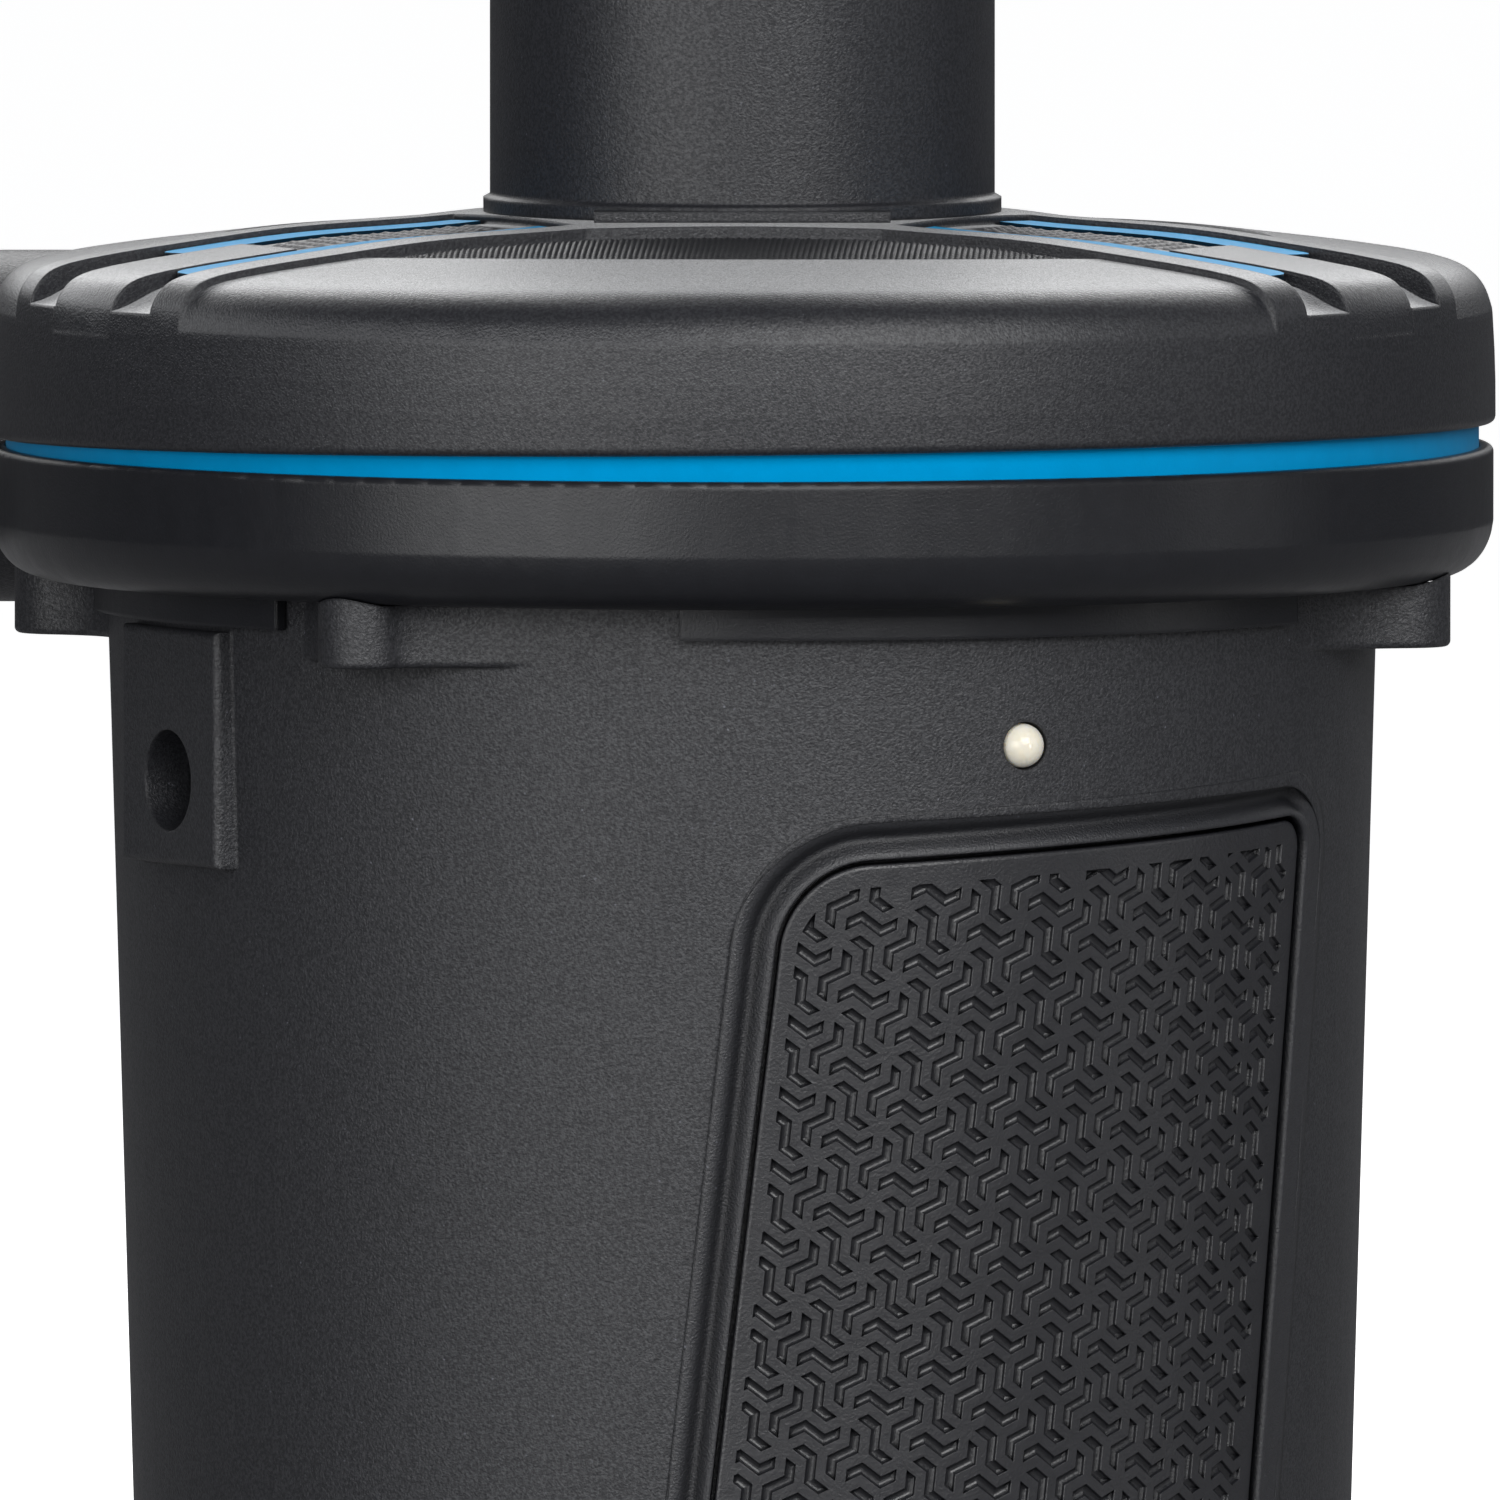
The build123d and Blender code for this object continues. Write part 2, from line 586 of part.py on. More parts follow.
# arm and side of the two longer strips, which border the front sector
LONG_STRIPS = ((ARM_AZ[0], 1), (ARM_AZ[1], -1))

with BuildPart() as accent_ring:
    with BuildSketch(Plane.XY.offset(RING_Z0)):
        Circle(RING_R_OUT)
        Circle(RING_R_IN, mode=Mode.SUBTRACT)
    extrude(amount=RING_H)
    add(outlet_ring_gap, mode=Mode.SUBTRACT)
write_piece(accent_ring.part, "accent_ring")

with BuildPart() as strip_layer:
    with BuildSketch(Plane.XZ):
        with BuildLine():
            top = Spline(*[(r, z - STRIP_DROP) for r, z in DOME[:7]])
            bottom = Spline(*[(r, z + 0.02) for r, z in level_points(CH_DROP, CHANNEL_RUNOUT)])
            Line(top @ 0, bottom @ 0)
            Line(top @ 1, bottom @ 1)
        make_face()
    revolve(axis=Axis.Z)
with BuildPart() as accent_strips:
    for azimuth in ARM_AZ:
        for side in (1, -1):
            end = LONG_STRIP_END if (azimuth, side) in LONG_STRIPS else STRIP_END
            with BuildSketch(cover_plane(azimuth)) as strip:
                with Locations(((STRIP_START + end) / 2, side * CH_MID)):
                    Rectangle(end - STRIP_START, STRIP_W)
                fillet(strip.vertices().sort_by(Axis.X)[-2:], radius=STRIP_CORNER)
            extrude(amount=CUT_H)
    add(strip_layer.part, mode=Mode.INTERSECT)
write_piece(accent_strips.part, "accent_strips")

# ================================================================== intake port and guard
PORT_FOOT_Z = HUB_Z + 0.03
PORT_FOOT_R, PORT_NECK_R, PORT_NECK_Z = 17.9, 16.62, 141.0
LEDGE_Z, LEDGE_T, LEDGE_R_IN = 145.0, 1.4, 13.6
KEY_Y, KEY_SIZE, KEY_H, KEY_CLEAR_R = -17.1, (20.4, 2.6), 0.75, 16.4
GUARD_Z, GUARD_T = 146.45, 1.6

with BuildPart() as intake_port:
    with BuildSketch(Plane.XZ):
        with BuildLine():
            Polyline((PORT_BORE, PORT_NECK_Z), (PORT_NECK_R, PORT_NECK_Z),
                     (PORT_NECK_R, PORT_FOOT_Z), (PORT_FOOT_R, PORT_FOOT_Z),
                     (PORT_FOOT_R, HUB_Z + 1.0), (PORT_R, HUB_Z + 1.25),
                     (PORT_R, PORT_TOP), (PORT_BORE, PORT_TOP), close=True)
        make_face()
    revolve(axis=Axis.Z)
    fillet(circles_at(intake_port, Axis.Z, PORT_TOP), radius=0.6)
    # inner ledge that carries the guard
    with BuildSketch(Plane.XY.offset(LEDGE_Z)):
        Circle(PORT_BORE + 0.2)
        Circle(LEDGE_R_IN, mode=Mode.SUBTRACT)
    extrude(amount=LEDGE_T)
    # flat key at the front of the tube's foot
    with BuildSketch(Plane.XY.offset(PORT_FOOT_Z)):
        with Locations((0.0, KEY_Y)):
            Rectangle(*KEY_SIZE)
        Circle(KEY_CLEAR_R, mode=Mode.SUBTRACT)
    extrude(amount=KEY_H)
write_piece(intake_port.part, "intake_port")

with BuildPart() as intake_guard:
    with BuildSketch(Plane.XY.offset(GUARD_Z)):
        # outer ring, middle ring, hub and six spokes
        Circle(PORT_BORE - 0.05)
        Circle(13.9, mode=Mode.SUBTRACT)
        Circle(8.6)
        Circle(7.5, mode=Mode.SUBTRACT)
        Circle(2.6)
        with PolarLocations(0, 6):
            with Locations((8.0, 0)):
                Rectangle(13.0, 1.3)
    extrude(amount=GUARD_T)
write_piece(intake_guard.part, "intake_guard")

# ================================================================== nozzle and outlet tube
COLLAR_Z, COLLAR_R = PORT_TOP + 0.05, 18.3
TIP_R, TIP_Z = 6.5, 208.0
# (r, z) of the stepped nozzle: up the outside, down the inside
NOZZLE_PROFILE = [
    (13.4, 157.0), (15.12, 157.0), (15.12, COLLAR_Z), (COLLAR_R, COLLAR_Z), (COLLAR_R, 170.8),
    (15.6, 171.6), (12.4, 186.0), (11.0, 186.3), (8.4, 197.0), (TIP_R, 197.3), (TIP_R, TIP_Z),
    (5.0, TIP_Z), (5.0, 198.0), (6.4, 196.4), (9.4, 185.4), (13.4, 169.6)]
RIB_COUNT, RIB_R, RIB_H = 24, 0.6, 2.4

with BuildPart() as nozzle_adapter:
    with BuildSketch(Plane.XZ):
        with BuildLine():
            Polyline(*NOZZLE_PROFILE, close=True)
        make_face()
    revolve(axis=Axis.Z)
    # thumb ribs around the collar
    with BuildSketch(Plane.XY.offset(COLLAR_Z)):
        with PolarLocations(COLLAR_R, RIB_COUNT):
            Circle(RIB_R)
    extrude(amount=RIB_H)
    fillet(circles_at(nozzle_adapter, Axis.Z, TIP_Z), radius=0.4)
write_piece(nozzle_adapter.part, "nozzle_adapter")

with BuildPart() as outlet_spout:
    with BuildSketch(Plane.YZ.offset(OUT_X_END)):
        with Locations((OUT_Y, OUT_Z)):
            Circle(OUT_R)
    extrude(amount=OUT_X_IN - OUT_X_END)
    with BuildSketch(Plane.YZ.offset(OUT_X_END)):
        with Locations((OUT_Y, OUT_Z)):
            Circle(OUT_BORE)
    extrude(amount=OUT_SOCKET, mode=Mode.SUBTRACT)
    with BuildSketch(Plane.YZ.offset(OUT_X_END + OUT_SOCKET)):
        with Locations((OUT_Y, OUT_Z)):
            Circle(OUT_DUCT)
    extrude(amount=OUT_X_IN - OUT_X_END - OUT_SOCKET, mode=Mode.SUBTRACT)
    fillet(circles_at(outlet_spout, Axis.X, OUT_X_END), radius=0.6)
write_piece(outlet_spout.part, "outlet_spout")

# ================================================================== impeller
IMP_R, IMP_Z, IMP_DISC_T = 29.0, 125.2, 1.4
IMP_HUB_R, IMP_HUB_H = 5.2, 11.0
BLADE_Z, BLADE_H, BLADE_COUNT = 126.0, 11.5, 9
# plan points of a blade's two faces: root, middle, tip
BLADE_FACES = (((4.2, 0.6), (16.0, 5.4), (28.2, 3.2)),
               ((4.2, -0.6), (16.1, 4.1), (28.2, 1.8)))
NUT_Z, NUT_R, NUT_H = 136.25, 3.2, 2.4

with BuildPart() as impeller:
    with BuildSketch(Plane.XY.offset(IMP_Z)):
        Circle(IMP_R)
    extrude(amount=IMP_DISC_T)
    with BuildSketch(Plane.XY.offset(IMP_Z)):
        Circle(IMP_HUB_R)
    extrude(amount=IMP_HUB_H)
    with BuildSketch(Plane.XY.offset(BLADE_Z)):
        with PolarLocations(0, BLADE_COUNT):
            with BuildLine():
                face_a = ThreePointArc(*BLADE_FACES[0])
                face_b = ThreePointArc(*BLADE_FACES[1])
                Line(face_a @ 0, face_b @ 0)
                Line(face_a @ 1, face_b @ 1)
            make_face()
    extrude(amount=BLADE_H)
    # blades taper down towards the rim
    with BuildSketch(Plane.XZ):
        with BuildLine():
            Polyline((IMP_HUB_R, 140), (7.0, 137.6), (29.5, 134.8), (32, 134.8), (32, 142),
                     (IMP_HUB_R, 142), close=True)
        make_face()
    revolve(axis=Axis.Z, mode=Mode.SUBTRACT)
    with BuildSketch(Plane.XY.offset(120)):
        Circle(SHAFT_BORE_R)
    extrude(amount=20, mode=Mode.SUBTRACT)
write_piece(impeller.part, "impeller")

with BuildPart() as impeller_nut:
    with BuildSketch(Plane.XY.offset(NUT_Z)):
        RegularPolygon(NUT_R, 6)
        Circle(SHAFT_BORE_R, mode=Mode.SUBTRACT)
    extrude(amount=NUT_H)
write_piece(impeller_nut.part, "impeller_nut")

# ================================================================== motor case
BUSH_SEAT_R, NOSE_R = 3.56, 6.5
CAN_TOP, CAN_OPEN_Z, CAN_IN_R = 119.85, 64.6, MOTOR_R - 1.2
# (r, z) of the can, open at the bottom
CAN_PROFILE = [
    (BUSH_SEAT_R, 121.9), (NOSE_R, 121.9), (NOSE_R, CAN_TOP), (MOTOR_R - 0.8, CAN_TOP),
    (MOTOR_R, CAN_TOP - 0.8), (MOTOR_R, CAN_OPEN_Z), (CAN_IN_R, CAN_OPEN_Z),
    (CAN_IN_R, 118.4), (BUSH_SEAT_R, 118.4)]
# (r, z) of the end cap that closes it
CAP_PROFILE = [
    (BUSH_SEAT_R, 57.6), (5.6, 57.6), (5.6, 60.2), (MOTOR_R - 0.6, 60.2), (MOTOR_R, 60.8),
    (MOTOR_R, 64.5), (MOTOR_R - 1.3, 64.5), (MOTOR_R - 1.3, 69.0), (14.4, 69.0), (14.4, 62.4),
    (BUSH_SEAT_R, 62.4)]
TERMINALS = ((0, 10.5), (0, -10.5))
TERMINAL_Z, TERMINAL_LENGTH = 54.4, 9.4
BUSHES = ((118.6, 3.2), (57.7, 4.4))   # lower face and height
MAGNET_Z, MAGNET_H, MAGNET_ARC = 78, 34, 130
MAGNET_R_OUT, MAGNET_R_IN = 16.6, 13.6
BRUSH_Z, BRUSH_LENGTH = 70.9, 4.75
SPRING_W = 2.6

with BuildPart() as motor_can:
    with BuildSketch(Plane.XZ):
        with BuildLine():
            Polyline(*CAN_PROFILE, close=True)
        make_face()
    revolve(axis=Axis.Z)
    with BuildSketch(Plane.XY.offset(117)):
        with Locations(*MOTOR_SCREWS):
            Circle(1.53)
    extrude(amount=5, mode=Mode.SUBTRACT)
    # cooling windows near the lower end
    with BuildSketch(Plane.YZ.offset(-30)):
        with Locations((0, 74)):
            RectangleRounded(9, 5, 1.2)
    extrude(amount=60, mode=Mode.SUBTRACT)
write_piece(motor_can.part, "motor_can")

with BuildPart() as motor_end_cap:
    with BuildSketch(Plane.XZ):
        with BuildLine():
            Polyline(*CAP_PROFILE, close=True)
        make_face()
    revolve(axis=Axis.Z)
    with BuildSketch(Plane.XY.offset(59)):
        with Locations(*TERMINALS):
            Rectangle(5.2, 1.1)
    extrude(amount=5, mode=Mode.SUBTRACT)
write_piece(motor_end_cap.part, "motor_end_cap")

with BuildPart() as motor_terminals:
    with BuildSketch(Plane.XY.offset(TERMINAL_Z)):
        with Locations(*TERMINALS):
            Rectangle(4.8, 0.8)
    extrude(amount=TERMINAL_LENGTH)
write_piece(motor_terminals.part, "motor_terminals")

with BuildPart() as motor_bushes:
    for z, height in BUSHES:
        with BuildSketch(Plane.XY.offset(z)):
            Circle(BUSH_SEAT_R - 0.02)
            Circle(SHAFT_R + 0.035, mode=Mode.SUBTRACT)
        extrude(amount=height)
write_piece(motor_bushes.part, "motor_bushes")

with BuildPart() as motor_magnets:
    for start in (25, 205):
        with BuildSketch(Plane.XY.offset(MAGNET_Z)):
            with BuildLine():
                draw_arc_band(MAGNET_R_OUT, MAGNET_R_IN, start, MAGNET_ARC)
            make_face()
        extrude(amount=MAGNET_H)
write_piece(motor_magnets.part, "motor_magnets")

with BuildPart() as motor_brushes:
    for x in (-9.6, 4.85):
        with BuildSketch(Plane.YZ.offset(x)):
            with Locations((0, BRUSH_Z)):
                Rectangle(3.0, 2.6)
        extrude(amount=BRUSH_LENGTH)
write_piece(motor_brushes.part, "motor_brushes")

# leaf springs that hold the brushes, standing on the end cap
with BuildPart() as brush_springs:
    for side in (-1, 1):
        with BuildSketch(Plane.XZ.offset(-SPRING_W / 2)):
            with BuildLine():
                Polyline((side * 9.65, 72.0), (side * 10.05, 72.0), (side * 10.9, 62.45),
                         (side * 10.5, 62.45), close=True)
            make_face()
        extrude(amount=SPRING_W)
write_piece(brush_springs.part, "brush_springs")

# ================================================================== motor rotor
SHAFT_Z0, SHAFT_Z1 = 58.0, 139.4
POLES = 5
CORE_Z, CORE_H, CORE_R = 81, 28, 13.1
SLOT_BC, SLOT_R, COIL_R = 9.2, 2.9, 2.7        # winding slots and the coils in them
COIL_END_Z, COIL_END_H = (76.5, 109.05), 4.45  # winding ends below and above the core
COMMUTATOR_Z, COMMUTATOR_R, COMMUTATOR_H = 68.8, 4.75, 7.4

with BuildPart() as motor_shaft:
    with BuildSketch(Plane.XY.offset(SHAFT_Z0)):
        Circle(SHAFT_R)
    extrude(amount=SHAFT_Z1 - SHAFT_Z0)
    chamfer(motor_shaft.edges().filter_by(GeomType.CIRCLE), length=0.3)
write_piece(motor_shaft.part, "motor_shaft")

with BuildPart() as armature_core:
    with BuildSketch(Plane.XY.offset(CORE_Z)):
        Circle(CORE_R)
        with PolarLocations(0, POLES):
            with Locations((SLOT_BC, 0)):
                Circle(SLOT_R, mode=Mode.SUBTRACT)
            with Locations((12.4, 0)):
                Rectangle(3.0, 1.4, mode=Mode.SUBTRACT)
        Circle(SHAFT_BORE_R, mode=Mode.SUBTRACT)
    extrude(amount=CORE_H)
write_piece(armature_core.part, "armature_core")

with BuildPart() as armature_windings:
    for z in COIL_END_Z:
        with BuildSketch(Plane.XY.offset(z)):
            with PolarLocations(0, POLES):
                with Locations((SLOT_BC, 0)):
                    Circle(COIL_R)
            Circle(9.9)
            Circle(4.0, mode=Mode.SUBTRACT)
        extrude(amount=COIL_END_H)
    # coils through the slots
    with BuildSketch(Plane.XY.offset(79)):
        with PolarLocations(0, POLES):
            with Locations((SLOT_BC, 0)):
                Circle(COIL_R)
    extrude(amount=32)
write_piece(armature_windings.part, "armature_windings")

with BuildPart() as commutator:
    with BuildSketch(Plane.XY.offset(COMMUTATOR_Z)):
        Circle(COMMUTATOR_R)
        Circle(SHAFT_BORE_R, mode=Mode.SUBTRACT)
        with PolarLocations(4.6, POLES):
            Rectangle(1.4, 0.5, mode=Mode.SUBTRACT)
    extrude(amount=COMMUTATOR_H)
write_piece(commutator.part, "commutator")

# ================================================================== motor screws and seal
with BuildPart() as motor_screws:
    # shanks, heads, cross slots
    with BuildSketch(Plane.XY.offset(118.5)):
        with Locations(*MOTOR_SCREWS):
            Circle(1.5)
    extrude(amount=4.4)
    with BuildSketch(Plane.XY.offset(FLOOR_TOP + 0.02)):
        with Locations(*MOTOR_SCREWS):
            Circle(2.7)
    extrude(amount=1.7)
    with BuildSketch(Plane.XY.offset(FLOOR_TOP + 0.9)):
        with Locations(*MOTOR_SCREWS):
            draw_cross(3.4, 0.7)
    extrude(amount=2, mode=Mode.SUBTRACT)
write_piece(motor_screws.part, "motor_screws")

with BuildPart() as shaft_seal:
    with BuildSketch(Plane.XY.offset(FLOOR_TOP + 0.03)):
        Circle(8.6)
        Circle(SHAFT_R + 0.08, mode=Mode.SUBTRACT)
    extrude(amount=1.3)
write_piece(shaft_seal.part, "shaft_seal")

# ================================================================== fasteners of the head
HEAD_SHANK_R, HEAD_SCREW_HEAD_R = 1.3, 2.3

with BuildPart() as head_screws:
    # shanks, heads, cross slots
    with BuildSketch(Plane.XY.offset(EAR_Z0 + 2.05)):
        with Locations(*ear_points):
            Circle(HEAD_SHANK_R)
    extrude(amount=19.5)
    with BuildSketch(Plane.XY.offset(EAR_Z0 + 0.25)):
        with Locations(*ear_points):
            Circle(HEAD_SCREW_HEAD_R)
    extrude(amount=1.72)
    with BuildSketch(Plane.XY.offset(EAR_Z0)):
        with Locations(*ear_points):
            draw_cross(2.6, 0.6)
    extrude(amount=1.2, mode=Mode.SUBTRACT)
    # join each shank to its head
    with BuildSketch(Plane.XY.offset(EAR_Z0 + 1.6)):
        with Locations(*ear_points):
            Circle(HEAD_SHANK_R)
    extrude(amount=1.0)
write_piece(head_screws.part, "head_screws")

# ================================================================== batteries
CELL_COUNT, CELL_START_AZ = 5, 18
CELL_PITCH = 360 / CELL_COUNT
CELL_R, CELL_H, CELL_PC = 11.25, 43.0, 19.3   # radius, height, pitch circle radius
CELL_Z = 7.2
CELL_TOP = CELL_Z + CELL_H
TRAY_R, TRAY_RIM_IN = 32.2, 30.8

with BuildPart() as battery_cells:
    with BuildSketch(Plane.XY.offset(CELL_Z)):
        with PolarLocations(CELL_PC, CELL_COUNT, start_angle=CELL_START_AZ):
            Circle(CELL_R)
    extrude(amount=CELL_H)
    fillet(battery_cells.edges().filter_by(GeomType.CIRCLE), radius=0.8)
    # contact buttons
    with BuildSketch(Plane.XY.offset(CELL_TOP - 0.1)):
        with PolarLocations(CELL_PC, CELL_COUNT, start_angle=CELL_START_AZ):
            Circle(4.4)
    extrude(amount=0.9)
write_piece(battery_cells.part, "battery_cells")

# each link joins a cell and the next one
with BuildPart() as cell_links:
    for cell in (0, 2):
        middle_az = CELL_START_AZ + CELL_PITCH * (cell + 0.5)
        middle = polar(CELL_PC * cos(radians(CELL_PITCH / 2)), middle_az)
        with BuildSketch(Plane.XY.offset(CELL_TOP + 0.83)):
            with Locations(Location((*middle, 0), (0, 0, middle_az + 90))):
                RectangleRounded(30, 7, 2)
        extrude(amount=0.25)
write_piece(cell_links.part, "cell_links")

with BuildPart() as battery_tray:
    with BuildSketch(Plane.XY.offset(4.95)):
        Circle(TRAY_R)
    extrude(amount=2.2)
    with BuildSketch(Plane.XY.offset(7.0)):
        Circle(TRAY_R)
        Circle(TRAY_RIM_IN, mode=Mode.SUBTRACT)
    extrude(amount=18)
    with BuildSketch(Plane.XY.offset(4)):
        Circle(7.0)
    extrude(amount=5, mode=Mode.SUBTRACT)
write_piece(battery_tray.part, "battery_tray")

with BuildPart() as battery_pad:
    with BuildSketch(Plane.XY.offset(51.4)):
        Circle(31.0)
        Circle(9.0, mode=Mode.SUBTRACT)
    extrude(amount=2.4)
write_piece(battery_pad.part, "battery_pad")

# ================================================================== circuit board
BOARD_Z, BOARD_T = 99.0, 1.6
PARTS_Z = BOARD_Z + BOARD_T + 0.02
BOARD_R_OUT, BOARD_R_IN, BOARD_START, BOARD_ARC = 35.5, 20.5, 192, 118
BOARD_HOLE_AZ, BOARD_HOLE_BC = (200, 250, 303), 33.5
# rectangular components: azimuth, radius, tangential width, radial depth, height
BLOCKS = ((233, 27.5, 8, 7, 4.0), (272, 28.0, 12, 9, 9.0), (291, 28.0, 4, 5, 3.0))
CAPACITORS = ((250, 24.3), (251.5, 31.6))   # azimuth, radius

with BuildPart() as circuit_board:
    with BuildSketch(Plane.XY.offset(BOARD_Z)):
        with BuildLine():
            draw_arc_band(BOARD_R_OUT, BOARD_R_IN, BOARD_START, BOARD_ARC)
        make_face()
        for azimuth in BOARD_HOLE_AZ:
            with Locations(polar(BOARD_HOLE_BC, azimuth)):
                Circle(1.3, mode=Mode.SUBTRACT)
    extrude(amount=BOARD_T)
write_piece(circuit_board.part, "circuit_board")

with BuildPart() as board_components:
    for azimuth, radius, width, depth, height in BLOCKS:
        with BuildSketch(Plane(origin=(*polar(radius, azimuth), PARTS_Z),
                               x_dir=(*polar(1, azimuth + 90), 0), z_dir=(0, 0, 1))):
            RectangleRounded(width, depth, 0.4)
        extrude(amount=height)
    for azimuth, radius in CAPACITORS:
        with BuildSketch(Plane.XY.offset(PARTS_Z)):
            with Locations(polar(radius, azimuth)):
                Circle(2.6)
        extrude(amount=9)
write_piece(board_components.part, "board_components")

# ================================================================== charging socket
JACK_BACK, JACK_LENGTH, JACK_FLOOR = 24.0, 12.0, 27.0   # distances from the pump's axis

with BuildPart() as charge_jack:
    with BuildSketch(jack_plane.offset(JACK_BACK)):
        RectangleRounded(9.4, 10.6, 0.6)
    extrude(amount=JACK_LENGTH)
    with BuildSketch(jack_plane.offset(JACK_FLOOR)):
        Circle(2.85)
    extrude(amount=12, mode=Mode.SUBTRACT)
write_piece(charge_jack.part, "charge_jack")

with BuildPart() as jack_pin:
    with BuildSketch(jack_plane.offset(JACK_FLOOR + 0.02)):
        Circle(1.0)
    extrude(amount=8.0)
    pin_circles = jack_pin.edges().filter_by(GeomType.CIRCLE)
    fillet(pin_circles.sort_by(Axis((0, 0, 0), jack_plane.z_dir))[-1], radius=0.5)
write_piece(jack_pin.part, "jack_pin")

# ================================================================== charge lamp
LED_TIP = body_r(LED_Z) + 0.95   # distances from the pump's axis
LED_BACK = LED_TIP - 6.2
LED_FLANGE = LED_TIP - 5.2
LED_FLANGE_R = 1.95
LED_DOME = LED_TIP - LED_R       # centre of the round tip
LEAD_LENGTH, LEAD_W, LEAD_X = 4.6, 0.5, 1.0
LEAD_START = LED_BACK - 0.05 - LEAD_LENGTH

with BuildPart() as charge_led:
    with BuildSketch(Plane(origin=(0, 0, LED_Z), x_dir=led_plane.z_dir,
                           z_dir=led_plane.x_dir)):
        with BuildLine():
            Polyline((LED_BACK, 0), (LED_BACK, LED_FLANGE_R), (LED_FLANGE, LED_FLANGE_R),
                     (LED_FLANGE, LED_R), (LED_DOME, LED_R))
            ThreePointArc((LED_DOME, LED_R),
                          (LED_DOME + LED_R * cos(radians(45)), LED_R * sin(radians(45))),
                          (LED_TIP, 0))
            Line((LED_TIP, 0), (LED_BACK, 0))
        make_face()
    revolve(axis=Axis((0, 0, LED_Z), led_plane.z_dir))
write_piece(charge_led.part, "charge_led")

with BuildPart() as led_leads:
    # level run behind the lamp
    with BuildSketch(led_plane.offset(LEAD_START)):
        with Locations((LEAD_X, 0), (-LEAD_X, 0)):
            Rectangle(LEAD_W, LEAD_W)
    extrude(amount=LEAD_LENGTH)
    # upright run from the board; this plane's y points inward
    with BuildSketch(Plane(origin=(0, 0, PARTS_Z), x_dir=led_plane.x_dir, z_dir=(0, 0, 1))):
        lead_y = -(LEAD_START + LEAD_W / 2)
        with Locations((LEAD_X, lead_y), (-LEAD_X, lead_y)):
            Rectangle(LEAD_W, LEAD_W)
    extrude(amount=LED_Z - PARTS_Z)
write_piece(led_leads.part, "led_leads")

# ================================================================== switch
PIVOT = -1.5          # pivot's place along the outward normal, from the pad
ROCK_TILT = 7.0       # degrees
PIVOT_HALF = 5.95     # half length of the pivot hole
HOUSING_BACK = -14.0
# (up, outward) side profile of the untilted rocker, from its pivot
ROCKER_PROFILE = ((-7.6, -0.9), (-7.6, 4.6), (0, 3.3), (7.6, 4.6), (7.6, -0.9), (0, -2.9))
ROCKER_W, PIVOT_PIN_LENGTH = 10.2, 11.7

switch_seat = switch_plane.offset(SWITCH_PLANE)
# x up, y outward, z along the pivot
pivot_plane = Plane(origin=switch_seat.origin + switch_seat.z_dir * PIVOT,
                    x_dir=switch_seat.y_dir, z_dir=switch_seat.x_dir)

with BuildPart() as switch_frame:
    # bezel
    with BuildSketch(switch_seat.offset(0.03)):
        RectangleRounded(15.4, 21.6, 1.6)
    extrude(amount=1.9)
    fillet(outer_face_edges(switch_frame, switch_seat), radius=0.7)
    # housing and its cavity
    with BuildSketch(switch_seat.offset(HOUSING_BACK)):
        RectangleRounded(12.7, 18.7, 0.5)
    extrude(amount=14.2)
    with BuildSketch(switch_seat.offset(-7.5)):
        Rectangle(10.6, 16.7)
    extrude(amount=12, mode=Mode.SUBTRACT)
    # pivot holes in the side walls
    with BuildSketch(pivot_plane.offset(-PIVOT_HALF)):
        Circle(1.06)
    extrude(amount=2 * PIVOT_HALF, mode=Mode.SUBTRACT)
write_piece(switch_frame.part, "switch_frame")


def tilt(point):
    """Turns a profile point about the pivot."""
    x, y = point
    c, s = cos(radians(ROCK_TILT)), sin(radians(ROCK_TILT))
    return (x * c - y * s, x * s + y * c)


with BuildPart() as switch_rocker:
    with BuildSketch(pivot_plane.offset(-ROCKER_W / 2)):
        with BuildLine():
            Polyline(*[tilt(point) for point in ROCKER_PROFILE], close=True)
        make_face()
    extrude(amount=ROCKER_W)
    fillet(switch_rocker.edges().filter_by(Axis((0, 0, 0), switch_seat.x_dir)), radius=0.45)
    with BuildSketch(pivot_plane.offset(-PIVOT_PIN_LENGTH / 2)):
        Circle(1.0)
    extrude(amount=PIVOT_PIN_LENGTH)
write_piece(switch_rocker.part, "switch_rocker")

with BuildPart() as switch_tabs:
    with BuildSketch(switch_seat.offset(-20.5)):
        with Locations((0, 5.0), (0, -1.5)):
            Rectangle(4.7, 0.8)
    extrude(amount=6.45)
write_piece(switch_tabs.part, "switch_tabs")

# ================================================================== wiring
WIRE_R = 0.85
# name and spline points, from the motor terminal upward
WIRES = (
    ("wire_positive", ((0, -11.75, 57.0), (8, -24, 60), (24, -24, 78), (22, 10, 90))),
    ("wire_negative", ((0, 11.75, 57.0), (-10, 24, 62), (-29, 10, 80), (-30, -10, 97.6))),
)
for name, points in WIRES:
    with BuildPart() as wire:
        with BuildLine() as path:
            Spline(*points)
        with BuildSketch(Plane(origin=path.line @ 0, z_dir=path.line % 0)):
            Circle(WIRE_R)
        sweep()
    write_piece(wire.part, name)

# ================================================================== base
BASE_Z0, BASE_Z1 = 1.2, TUB_Z0 - 0.12
BASE_R, BASE_BEVEL = 40.6, 1.4
BASE_SPIGOT_R_OUT, BASE_SPIGOT_R_IN = 37.9, 36.4

